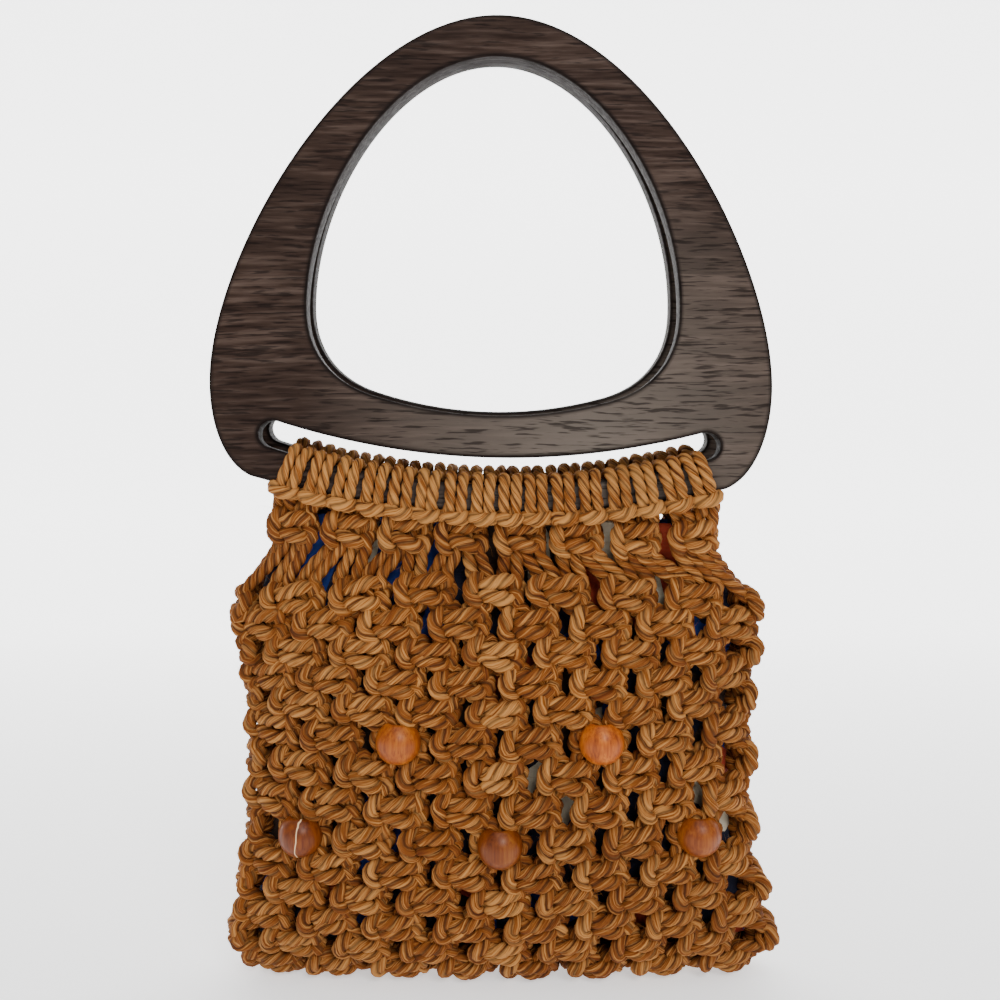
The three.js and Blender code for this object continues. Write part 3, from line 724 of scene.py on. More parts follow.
@dataclass(frozen=True)
class TwistedJute:
    """Golden jute: pale and brown fibres along the cord, and painted shade that darkens the grooves between
    the plies.
    """

    dark: tuple[float, float, float] = (0.080, 0.016, 0.0010)
    middle: tuple[float, float, float] = (0.176, 0.050, 0.0050)
    light: tuple[float, float, float] = (0.405, 0.180, 0.046)
    stops: tuple[float, float, float] = (0.34, 0.50, 0.64)
    fine_repeats: tuple[float, float, float] = (1500, 1500, 130)
    broad_repeats: tuple[float, float, float] = (600, 600, 70)
    broad_shift: tuple[float, float, float] = (5.1, 3.3, 1.2)
    fine_share: float = 0.6
    tone_share: float = 0.5
    # Painted shade in the grooves: the groove depth where it starts and how dark it gets at the bottom.
    painted_shade_start: float = 0.25
    painted_groove_shade: float = 0.34
    drift_repeats: float = 22.0
    drift_amount: float = 0.5
    roughness: tuple[float, float] = (0.95, 0.72)
    relief: tuple[float, float] = (0.85, 0.0005)
    shine: float = 0.2

    def build(self, effects: SharedEffects) -> bpy.types.Material:
        """Builds the material from the fibre coordinate, groove depth and tone that the cords carry.

        Args:
            effects: the shared groups.

        Returns:
            The material.
        """
        material, graph, shader = new_material("twisted_jute")
        fibre = graph.attribute("fibre_place", "Vector")
        place = graph.add("TexCoord").outputs["Object"]
        drift = group_node(graph, effects.drift,
                           {"Place": place, "Size": self.drift_repeats, "Amount": self.drift_amount})
        fine = graph.noise(fibre, self.fine_repeats, 3.0)
        broad = graph.noise(fibre, self.broad_repeats, 2.0, self.broad_shift)
        mixed = graph.sum_of((fine, self.fine_share), (broad, 1 - self.fine_share))
        # The tone carries the cord's own lightness plus the painted light on its top.
        mixed = graph.math("ADD", mixed, graph.times(graph.attribute("tone"), self.tone_share))
        colour = graph.ramp(mixed, list(zip(self.stops, (self.dark, self.middle, self.light))))
        colour = graph.blend("MULTIPLY", 1.0, colour, drift.outputs["Tone"])
        # Painted shade: the colour is darkened with the depth of the groove between the plies.
        painted_shading = graph.between(graph.attribute("groove"), self.painted_shade_start, 1.0, 1.0, self.painted_groove_shade)
        colour = graph.blend("MULTIPLY", 1.0, colour, painted_shading)
        graph.join(colour, shader.inputs["Base Color"])
        graph.join(graph.between(fine, 0.3, 0.7, *self.roughness), shader.inputs["Roughness"])
        graph.relief(shader, mixed, *self.relief)
        shader.inputs["Specular IOR Level"].default_value = self.shine
        return material


@dataclass(frozen=True)
class VarnishedBead:
    """Glossy orange-brown wood with fine streaks, and an old crack if one is asked for."""

    dark: tuple[float, float, float] = (0.12, 0.018, 0.001)
    middle: tuple[float, float, float] = (0.30, 0.066, 0.004)
    light: tuple[float, float, float] = (0.46, 0.140, 0.015)
    crack_colour: tuple[float, float, float] = (0.78, 0.52, 0.30)
    stops: tuple[float, float, float] = (0.32, 0.50, 0.70)
    fineness: float = 1.5
    figure_share: float = 0.6
    pore_share: float = 0.45
    crack_aside: float = 0.0012
    crack_sway: float = 0.006
    crack_repeats: tuple[float, float, float] = (60, 60, 160)
    crack_edges: tuple[float, float] = (0.00012, 0.00042)
    crack_depth: float = 2.0
    roughness: tuple[float, float] = (0.46, 0.36)
    relief: tuple[float, float] = (0.2, 0.0002)
    shine: float = 0.27

    def build(self, effects: SharedEffects, name: str, painted_shading: float, cracked: bool) -> bpy.types.Material:
        """Builds one bead's material.

        Args:
            effects: the shared groups.
            name: name of the material.
            painted_shading: painted light and shade on this bead, a factor on its colour around 1.
            cracked: whether a pale crack runs down its front.

        Returns:
            The material, on the bead's own place attribute.
        """
        material, graph, shader = new_material(name)
        place = graph.attribute("bead_place", "Vector")
        grain = group_node(graph, effects.grain, {"Place": place, "Fineness": self.fineness}).outputs
        mixed = graph.sum_of((grain["Figure"], self.figure_share), (grain["Streaks"], 1 - self.figure_share))
        colour = graph.ramp(mixed, list(zip(self.stops, (self.dark, self.middle, self.light))))
        # Painted light and shade: the bead's colour scaled by its own factor.
        colour = graph.blend("MULTIPLY", 1.0, colour, (painted_shading, painted_shading, painted_shading, 1))
        colour = graph.blend("MIX", graph.times(grain["Pores"], self.pore_share), colour, (*self.dark, 1))
        height = grain["Streaks"]
        if cracked:
            across = graph.add("SeparateXYZ", {0: place}).outputs["Y"]
            sway = graph.times(graph.noise(place, self.crack_repeats, 2.0), self.crack_sway)
            line = graph.math("SUBTRACT", graph.math("ADD", across, self.crack_aside), sway)
            crack = graph.between(graph.math("ABSOLUTE", line), *self.crack_edges, 1.0, 0.0)
            colour = graph.blend("MIX", crack, colour, (*self.crack_colour, 1))
            height = graph.math("SUBTRACT", height, graph.times(crack, self.crack_depth))
        graph.join(colour, shader.inputs["Base Color"])
        graph.join(graph.between(grain["Streaks"], 0.3, 0.7, *self.roughness), shader.inputs["Roughness"])
        graph.relief(shader, height, *self.relief)
        shader.inputs["Specular IOR Level"].default_value = self.shine
        return material


@dataclass(frozen=True)
class PrintedCotton:
    """Plain-woven cotton printed with loose patches in the print's own colours, the navy share raised below
    as painted shade inside the bag, and a brighter patched band at the top as painted light at the neck.
    """

    navy: tuple[float, float, float] = (0.004, 0.005, 0.020)
    blue: tuple[float, float, float] = (0.010, 0.030, 0.190)
    cream: tuple[float, float, float] = (0.520, 0.460, 0.340)
    brick: tuple[float, float, float] = (0.300, 0.030, 0.008)
    brown: tuple[float, float, float] = (0.025, 0.011, 0.005)
    run: float = 0.464
    cells_round: int = 32
    patch_repeats: float = 48.0
    # The print's colours, the navy share raised as painted shade inside the bag.
    patch_stops: tuple[tuple[float, str], ...] = (
        (0.0, "navy"), (0.60, "blue"), (0.74, "brown"), (0.88, "cream"), (0.94, "brick"))
    wobble_repeats: tuple[float, float, float] = (60, 60, 60)
    wobble_reach: tuple[float, float] = (0.010, -0.008)
    thread_repeats: float = 420.0
    drift_repeats: float = 30.0
    drift_amount: float = 0.4
    roughness: tuple[float, float] = (0.95, 0.8)
    relief: tuple[float, float] = (0.4, 0.0002)
    # Painted light: depth and colours of the brighter band of patches at the top of the cloth.
    lit_top_depth: float = 0.0300
    lit_top_band: tuple[tuple[float, str], ...] = (
        (0, "navy"), (1.3, "blue"), (2.7, "navy"), (3.5, "cream"), (4.1, "blue"), (4.9, "navy"),
        (5.4, "blue"), (6.6, "navy"), (7.3, "brown"), (8.7, "navy"), (9.5, "cream"), (10.3, "brown"),
        (11.2, "brick"), (12.1, "cream"), (12.8, "navy"), (13.4, "cream"), (14.1, "brick"), (14.9, "navy"),
        (17.5, "blue"), (19.2, "cream"), (20.1, "navy"), (23.0, "brick"), (25.0, "cream"), (26.1, "navy"),
        (28.6, "blue"), (30.4, "navy"))

    def build(self, effects: SharedEffects) -> bpy.types.Material:
        """Builds the material on the cloth's own flat coordinate.

        Args:
            effects: the shared groups.

        Returns:
            The material.
        """
        material, graph, shader = new_material("printed_cotton")
        cloth = graph.attribute("cloth_place", "Vector")
        wobble = graph.noise(cloth, self.wobble_repeats, 2.0)
        reach_x, reach_y = self.wobble_reach
        aside, down = graph.times(wobble, reach_x), graph.times(wobble, reach_y)
        shift = graph.add("CombineXYZ", {"X": aside, "Y": down})
        moved = graph.add("VectorMath", {0: cloth, 1: shift.outputs[0]}, operation="ADD").outputs[0]
        patches = graph.add("TexVoronoi", {"Vector": moved, "Scale": self.patch_repeats})
        pick = graph.add("SeparateColor", {0: patches.outputs["Color"]}).outputs[0]
        stops = [(at, getattr(self, word)) for at, word in self.patch_stops]
        colour = graph.ramp(pick, stops, steps=True)
        # Painted light: a brighter band of patches at the top of the cloth, where light reaches in at the
        # neck.
        parts = graph.add("SeparateXYZ", {0: moved}).outputs
        stops = [(cell / self.cells_round, getattr(self, word)) for cell, word in self.lit_top_band]
        lit_top_band = graph.ramp(graph.times(parts["X"], 1 / self.run), stops, steps=True)
        upper = graph.math("LESS_THAN", parts["Y"], self.lit_top_depth)
        colour = graph.blend("MIX", upper, colour, lit_top_band)
        drift = group_node(graph, effects.drift,
                           {"Place": cloth, "Size": self.drift_repeats, "Amount": self.drift_amount})
        colour = graph.blend("MULTIPLY", 1.0, colour, drift.outputs["Tone"])
        graph.join(colour, shader.inputs["Base Color"])
        threads = {"Vector": cloth, "Scale": self.thread_repeats}
        weave = [graph.add("TexWave", threads, bands_direction=axis).outputs["Fac"] for axis in ("X", "Y")]
        height = graph.times(*weave)
        graph.join(graph.between(height, 0.0, 1.0, *self.roughness), shader.inputs["Roughness"])
        graph.relief(shader, height, *self.relief)
        return material


@dataclass(frozen=True)
class PaleFloor:
    """Matt near-white floor and backdrop."""

    colour: tuple[float, float, float] = (0.86, 0.86, 0.86)
    near_glow: tuple[float, float, float] = (0.24, 0.24, 0.24)
    far_glow: tuple[float, float, float] = (1.0, 1.0, 1.0)
    glow_depth: float = 1.2
    glow_strength: float = 3.2
    roughness: float = 0.9
    mottle_repeats: tuple[float, float, float] = (3, 3, 3)
    mottle_shade: float = 0.985

    def build(self) -> bpy.types.Material:
        """Builds the material: a faint mottle, and a glow that grows with the distance behind the bag.

        Returns:
            The material.
        """
        material, graph, shader = new_material("pale_floor")
        place = graph.add("TexCoord").outputs["Object"]
        tone = graph.between(graph.noise(place, self.mottle_repeats), 0.3, 0.7, self.mottle_shade, 1.0)
        colour = graph.blend("MULTIPLY", 1.0, (*self.colour, 1), tone)
        graph.join(colour, shader.inputs["Base Color"])
        depth = graph.between(graph.add("SeparateXYZ", {0: place}).outputs["Y"], 0.0, self.glow_depth)
        glow = graph.ramp(depth, [(0.0, self.near_glow), (1.0, self.far_glow)])
        graph.join(glow, shader.inputs["Emission Color"])
        shader.inputs["Roughness"].default_value = self.roughness
        shader.inputs["Emission Strength"].default_value = self.glow_strength
        return material


# Pieces


@dataclass(frozen=True)
class HoopHandle:
    """One flat wooden hoop with a hand opening and a curved slot, above the bar that the cords hang on."""

    thickness: float = 10.0
    round_over: float = 0.9
    top_band: float = 18.0
    half_width: float = 124.0
    widest: float = 143.0
    corner: float = 105.0
    opening_half_width: float = 82.0
    opening_height: float = 156.5
    opening_widest: float = 110.0
    opening_corner: float = 50.0
    sole_radius: float = 182.0
    web: float = 18.5
    slot_width: float = 12.0
    slot_half_length: float = 102.0
    slot_radius: float = 341.0
    bar_height: float = 12.0
    bar_radius: float = 430.0
    seat: float = 0.3
    lean: float = math.radians(2.4)
    roll: float = math.radians(1.6)
    rear_shift: tuple[float, float] = (-0.8, 2.2)
    round_steps: int = 5
    face_rings: tuple[float, ...] = (1.2, 1.6, 2.2, 3.2, 5.0)
    # How far the darkened edge, partly painted shade, fades onto the faces, and how strong it is there.
    edge_fade: float = 1.3
    edge_share: float = 0.8
    outer_pulls: tuple[float, float, float, float, float] = (.53, .34, .47, .63, .12)
    opening_pulls: tuple[float, float, float, float, float] = (.54, .47, .53, .63, .13)
    outer_steps: int = 60
    opening_steps: int = 48
    slot_steps: int = 60
    slot_end_steps: int = 12
    cut_distance: float = 1e-5

    @property
    def slot_middle(self) -> float:
        """Height of the slot's middle line at the middle of the plate."""
        return -(self.opening_height + self.web + self.slot_width / 2)

    @property
    def bar_foot(self) -> float:
        """Height of the lowest edge at the middle of the plate."""
        return self.slot_middle - self.slot_width / 2 - self.bar_height

    @property
    def plate_middle(self) -> float:
        """Distance of a plate's middle from the middle plane of the bag, at the top."""
        return self.seat / 2 + self.thickness / 2

    @staticmethod
    def bezier(start: tuple, leave: tuple, arrive: tuple, end: tuple, steps: int) -> np.ndarray:
        """Cubic curve from start to end, without its last point: the usual sum of the four points weighted
        by the powers of t and 1 - t.

        Args:
            start: first point.
            leave: point that the curve leaves towards.
            arrive: point that it arrives from.
            end: last point.
            steps: number of points.

        Returns:
            The points.
        """
        t = (np.arange(steps) / steps)[:, None]
        a, b, c, d = (np.array(point, float) for point in (start, leave, arrive, end))
        return (1 - t)**3 * a + 3 * (1 - t)**2 * t * b + 3 * (1 - t) * t**2 * c + t**3 * d

    @staticmethod
    def shallow_arc(radius: float, lowest: float, start: float, end: float, steps: int) -> np.ndarray:
        """Points of an arc whose lowest point lies on the middle line."""
        x = np.linspace(start, end, steps + 1)
        return np.column_stack([x, lowest + radius - np.sqrt(radius**2 - x**2)])

    @staticmethod
    def whole(right: np.ndarray) -> np.ndarray:
        """Closed outline from its right half, which runs from the top middle to the bottom middle."""
        return np.concatenate([right, (right[1:-1] * [-1, 1])[::-1]])

    def hoop(self, steps: int, top: float, half: float, widest: float, corner: float, foot: float,
             radius: float, pulls: tuple[float, float, float, float, float]) -> np.ndarray:
        """A rounded triangle: two cubic curves down the right side and an arc along the bottom.

        Args:
            steps: steps of the upper curve.
            top: height of the top.
            half: half width.
            widest: level of the widest place.
            corner: where the rounded corner meets the arc.
            foot: height of the lowest point.
            radius: radius of the arc.
            pulls: how far the curves' handles reach, as shares of the sides that they belong to.

        Returns:
            The closed outline.
        """
        corner_height = foot + radius - math.sqrt(radius**2 - corner**2)
        fall = -widest - corner_height
        over, down, turn, aside, lift = pulls
        side = (half, -widest)
        falling = (half, -widest + down * (widest + top))
        crown = self.bezier((0, top), (over * half, top), falling, side, steps)
        cheek = self.bezier(side, (half, -widest - turn * fall),
                            (corner + aside * (half - corner), corner_height + lift * fall),
                            (corner, corner_height), steps // 2)
        sole = self.shallow_arc(radius, foot, corner, 0, steps // 2)
        return self.whole(np.concatenate([crown, cheek, sole]))

    def outlines(self) -> list[np.ndarray]:
        """The three outlines of the plate, each turning so that the wood lies on its left.

        Returns:
            Outer edge, hand opening and slot.
        """
        outer = self.hoop(self.outer_steps, self.top_band, self.half_width, self.widest, self.corner,
                          self.bar_foot, self.bar_radius, self.outer_pulls)
        opening = self.hoop(self.opening_steps, 0, self.opening_half_width, self.opening_widest,
                            self.opening_corner, -self.opening_height, self.sole_radius, self.opening_pulls)
        return [outer[::-1], opening, self.slot()]

    def slot(self) -> np.ndarray:
        """Outline of the slot: a band of even width along an arc, with half-round ends.

        Returns:
            The closed outline.
        """
        half = self.slot_width / 2
        sweep = math.asin((self.slot_half_length - half) / self.slot_radius)
        centre = np.array([0, self.slot_middle + self.slot_radius])

        def along(angles: np.ndarray, radius: float) -> np.ndarray:
            """Points of an arc about the centre of the slot's curve."""
            return centre + np.column_stack([np.sin(angles), -np.cos(angles)]) * radius

        def end(angle: float, way: float) -> np.ndarray:
            """Half-round end of the slot, without its first and last point.

            Args:
                angle: where the end's middle lies on the arc.
                way: 1 for the right end and -1 for the left one.

            Returns:
                The points.
            """
            turn = np.linspace(0, math.pi, self.slot_end_steps + 1)[1:-1, None]
            forward = np.array([math.cos(angle), math.sin(angle)]) * way
            inward = np.array([-math.sin(angle), math.cos(angle)]) * way
            middle = along(np.array([angle]), self.slot_radius)
            return middle + half * (forward * np.sin(turn) + inward * np.cos(turn))

        angles = np.linspace(-sweep, sweep, self.slot_steps + 1)
        upper = along(angles, self.slot_radius - half)
        lower = along(angles[::-1], self.slot_radius + half)
        return np.concatenate([upper, end(sweep, 1), lower, end(-sweep, -1)])

    @staticmethod
    def drawn_in(outline: np.ndarray, depth: float) -> np.ndarray:
        """The outline moved into the wood: each point goes along the left-hand normal of its neighbours.

        Args:
            outline: the outline.
            depth: distance into the wood.

        Returns:
            The moved outline.
        """
        ahead = np.roll(outline, -1, axis=0) - np.roll(outline, 1, axis=0)
        left = unit(np.column_stack([-ahead[:, 1], ahead[:, 0]]))
        return outline + left * depth

    def hang(self, points: np.ndarray, side: Side) -> np.ndarray:
        """Points of the plate's own frame in the bag's frame: out from the middle plane, leaning about the
        top edge and rolled down to the right. The rear plate hangs a little to the left and higher.

        Args:
            points: points of the plate.
            side: which of the two handles.

        Returns:
            The points in the bag's frame.
        """
        x, y, z = points[:, 0], points[:, 1] + side.value * self.plate_middle, points[:, 2] - self.top_band
        cosine, sine = math.cos(side.value * self.lean), math.sin(side.value * self.lean)
        y, z = y * cosine - z * sine, y * sine + z * cosine + self.top_band
        cosine, sine = math.cos(self.roll), math.sin(self.roll)
        x, z = x * cosine + z * sine, z * cosine - x * sine
        aside, lift = self.rear_shift if side is Side.BACK else (0.0, 0.0)
        return np.stack([x + aside, y, z + lift], axis=-1)

    def section(self) -> tuple[np.ndarray, np.ndarray, np.ndarray]:
        """Run of the plate's section from the middle of one face round the edge to the other.

        Returns:
            Depth into the wood, distance from the plate's middle, and nearness to the edge for each ring.
        """
        turn = np.linspace(0, math.pi / 2, self.round_steps + 1)
        corner_depth = self.round_over * (1 - np.sin(turn))
        corner_level = self.thickness / 2 - self.round_over * (1 - np.cos(turn))
        faces = np.array(self.face_rings)[::-1]
        depth = np.concatenate([faces, corner_depth])
        level = np.concatenate([np.full(len(faces), self.thickness / 2), corner_level])
        fade = np.clip(1 - (faces - self.round_over) / self.edge_fade, 0, 1) * self.edge_share
        near = np.concatenate([fade, np.ones(len(turn))])
        return (np.concatenate([depth, depth[::-1]]), np.concatenate([level, -level[::-1]]),
                np.concatenate([near, near[::-1]]))

    def build(self, side: Side) -> bpy.types.Object:
        """Builds one handle: rings of each outline through the section, and flat caps triangulated between
        the innermost rings.

        Args:
            side: which of the two handles.

        Returns:
            The handle.
        """
        depth, level, near = self.section()
        points: list[np.ndarray] = []
        faces: list[np.ndarray] = []
        edges: list[np.ndarray] = []
        flat: list[np.ndarray] = []
        firsts: list[np.ndarray] = []
        start = 0
        for outline in self.outlines():
            rings = np.stack([self.drawn_in(outline, d) for d in depth])
            size = len(outline)
            levels = np.broadcast_to(level[:, None], rings.shape[:2])
            stack = np.stack([rings[..., 0], levels, rings[..., 1]], axis=-1)
            points.append(stack.reshape(-1, 3))
            edges.append(np.repeat(near, size))
            faces.append(grid_faces(len(depth), size, start))
            flat.append(rings[0])
            firsts.append(start + np.arange(size))
            start += stack.shape[0] * size
        corners = np.concatenate(flat)
        numbers = np.concatenate(firsts)
        spans = np.cumsum([0] + [len(ring) for ring in flat])
        borders = [(int(first + step), int(first + (step + 1) % (end - first)))
                   for first, end in zip(spans, spans[1:]) for step in range(end - first)]
        cut = delaunay_2d_cdt([Vector(corner) for corner in corners], borders, [], 0, self.cut_distance)
        cut_faces, sources = cut[2], cut[3]
        triangles = np.array([[sources[corner][0] for corner in face] for face in cut_faces])
        middles = corners[triangles].mean(axis=1)
        plate, opening, slot = (self.encloses(ring, middles) for ring in flat)
        triangles = triangles[plate & ~opening & ~slot]
        a, b, c = (corners[triangles[:, k]] for k in range(3))
        turn = (b - a)[:, 0] * (c - a)[:, 1] - (b - a)[:, 1] * (c - a)[:, 0]
        triangles = np.where(turn[:, None] > 0, triangles, triangles[:, ::-1])
        across = np.concatenate([np.full(len(ring), (len(depth) - 1) * len(ring)) for ring in flat])
        faces.append(numbers[triangles][:, ::-1])
        faces.append((numbers + across)[triangles])
        surface = Surface(self.hang(np.concatenate(points), side), faces, {"edge": np.concatenate(edges)})
        return surface.to_object(f"{side.name.lower()}_hoop")

    @staticmethod
    def encloses(outline: np.ndarray, points: np.ndarray) -> np.ndarray:
        """Whether each point lies inside the outline: a line to its right crosses an odd number of edges.

        Args:
            outline: the closed outline.
            points: the points.

        Returns:
            True for each point inside.
        """
        start, end = outline, np.roll(outline, -1, axis=0)
        px, py = points[:, :1], points[:, 1:]
        spans = (start[:, 1] > py) != (end[:, 1] > py)
        rise = np.where(end[:, 1] == start[:, 1], TINY, end[:, 1] - start[:, 1])
        cross = px < (end[:, 0] - start[:, 0]) * (py - start[:, 1]) / rise + start[:, 0]
        return np.sum(spans & cross, axis=1) % 2 == 1


@dataclass(frozen=True)
class BarHitches:
    """Doubled cords hitched on each bar: two legs over the bar, and the bight across them below it."""

    handle: HoopHandle
    cord: LaidCord = LaidCord(diameter=5.5, lay=17.0)
    count: int = 16
    free: float = 7.0
    spread: float = 2.0
    bight_fullness: float = 1.16
    # Painted light: the hitches' tone is set lighter than the net's, lightening the shade between them on the
    # bar.
    tone: float = 0.17
    tone_spread: float = 0.06
    loose: float = 0.16
    loose_ways: tuple[float, float, float] = (1, 0.6, 1.3)
    slip: float = 0.25
    fan_start: float = 0.45
    half_path: tuple[tuple[float, float, float], ...] = (
        (0, 8.8, -3.7), (2.9, 8.0, -2.9), (4.7, 5.4, -2.4), (4.9, 1.4, -2.8), (4.7, -3.6, -2.6),
        (4.4, -7.4, 1), (4.0, -7.4, 11), (3.4, -4.6, 14.3), (2.85, 0, 14.7), (2.7, 4.6, 14.3),
        (2.62, 7.4, 11), (2.58, 7.4, 2), (2.4, 5.2, -1.4), (2.2, 3.4, -4.0))

    @property
    def stations(self) -> np.ndarray:
        """Place of each hitch along the slot."""
        last = self.handle.slot_half_length - self.handle.slot_width / 2 - CORD
        return np.linspace(self.free - last, last, self.count)

    def on_bar(self, station: float, points: np.ndarray, side: Side) -> np.ndarray:
        """Points given across a hitch, out from the bar and up from its foot, in the bag's frame. The hitch
        stands square to the slot's curve, and its foot follows the curve of the lowest edge.

        Args:
            station: place of the hitch along the slot.
            points: points of the cord.
            side: which bar.

        Returns:
            The points in the bag's frame.
        """
        handle = self.handle
        top_radius = handle.slot_radius + handle.slot_width / 2
        angle = math.asin(station / top_radius)
        offset = handle.bar_foot + handle.bar_radius - (handle.slot_middle + handle.slot_radius)
        foot = math.sqrt(handle.bar_radius**2 - (offset * math.sin(angle))**2) - offset * math.cos(angle)
        stretch = (foot - top_radius) / handle.bar_height
        height = np.where(points[:, 2] > handle.bar_height / 2,
                          points[:, 2] + (stretch - 1) * handle.bar_height, points[:, 2])
        radius = foot - height
        across = points[:, 0]
        x = math.sin(angle) * radius + math.cos(angle) * across
        z = handle.slot_middle + handle.slot_radius - math.cos(angle) * radius + math.sin(angle) * across
        return handle.hang(np.stack([x, side.value * points[:, 1], z], axis=-1), side)

    def fan(self, station: float, height: np.ndarray) -> np.ndarray:
        """Slide across the bar by height: the hitches near each end spread outwards at their feet."""
        end = max(0.0, abs(station) / self.stations[-1] - self.fan_start) / (1 - self.fan_start)
        return math.copysign(self.spread * end**2, station) * (0.5 - height / self.handle.bar_height)

    def leg(self, side: Side, strand: int) -> np.ndarray:
        """End of the leg that a strand of the net goes on from.

        Args:
            side: which bar.
            strand: number of the leg along the bar, from the left as seen from the front.

        Returns:
            The last two points of the leg.
        """
        half = np.array(self.half_path)[-2:] * [1 if strand % 2 else -1, 1, 1]
        station = self.stations[strand // 2]
        half[:, 0] += self.fan(station, half[:, 2])
        return self.on_bar(station, half, side)

    def build(self, side: Side, random: np.random.Generator) -> bpy.types.Object:
        """Builds the hitches of one bar, each one cord from leg to leg.

        Args:
            side: which bar.
            random: source of small unevenness.

        Returns:
            The hitches as one piece.
        """
        right = np.array(self.half_path)
        whole = np.concatenate([right[:0:-1] * [-1, 1, 1], right])
        parts = []
        for station in self.stations:
            moved = whole + random.normal(0, self.loose, whole.shape) * self.loose_ways
            moved[:, 0] += self.fan(station, moved[:, 2])
            fullness = np.where(moved[:, 2] < 0, self.bight_fullness, 1.0)
            points = self.on_bar(station + random.normal(0, self.slip), moved, side)
            path = spline(np.column_stack([points, fullness]))
            parts.append(self.cord.along(path, random.random(), random.normal(self.tone, self.tone_spread)))
        return Surface.joined(parts).to_object(f"{side.name.lower()}_hitches")


@dataclass(frozen=True)
class WoodenBead:
    """Round bead with a bore, threaded on the two core cords in the place of a knot."""

    name: str
    row: int
    cell: int
    # Painted light and shade: a factor on the bead's colour.
    painted_shading: float
    cracked: bool = False
    diameter: float = 20.0
    bore: float = 8.0
    proud: float = 2.5
    rings: int = 72
    meridians: int = 40
    rim: float = 0.9
    flare: float = 0.3
    lip: float = 0.1
    sink: float = 0.6
    lumpiness: float = 0.006
    grain_gap: float = 0.07

    def build(self, body: NetBody, finish: bpy.types.Material) -> bpy.types.Object:
        """Builds the bead: its section, a circle cut by the bore with a softened rim, turned about the cords.

        Args:
            body: surface of the net.
            finish: the bead's material.

        Returns:
            The bead.
        """
        right, down, out = (v[0] for v in body.directions(np.array([self.cell]), np.array([self.row])))
        middle = body.place(np.array([self.cell]), np.array([self.row]))[0] + out * self.proud
        radius, hole = self.diameter / 2, self.bore / 2
        pole = math.asin((hole + self.rim) / radius)
        bulge = np.linspace(pole, math.pi - pole, self.meridians)
        mouth = hole + self.flare
        reach = np.concatenate([radius * np.sin(bulge), [mouth, hole, hole, hole, mouth]])
        end = radius * math.cos(pole)
        inner = [-end + self.lip, -end + self.sink, 0, end - self.sink, end - self.lip]
        level = np.concatenate([radius * np.cos(bulge), inner])
        around = np.arange(self.rings) / self.rings * FULL_TURN
        fade = np.abs(np.sin(level / radius * 2 + 1))[:, None]
        lump = 1 + self.lumpiness * np.sin(2 * around + self.cell) * fade
        x = reach[:, None] * np.cos(around) * lump
        y = reach[:, None] * np.sin(around) * lump
        z = np.broadcast_to(level[:, None], x.shape)
        count, size = x.shape
        ring = np.arange(size)
        after = (ring + 1) % size
        last = (count - 1) * size
        closing = np.column_stack([last + ring, last + after, after, ring])
        faces = np.concatenate([grid_faces(count, size), closing])[:, ::-1]
        points = middle + x[..., None] * right + y[..., None] * out - z[..., None] * down
        local = np.stack([z, x, y], axis=-1).reshape(-1, 3) * MM + [self.cell * self.grain_gap, 0, 0]
        surface = Surface(points.reshape(-1, 3), [faces], {"bead_place": local})
        piece = surface.to_object(self.name + "_turned")
        piece.data.materials.append(finish)
        return piece


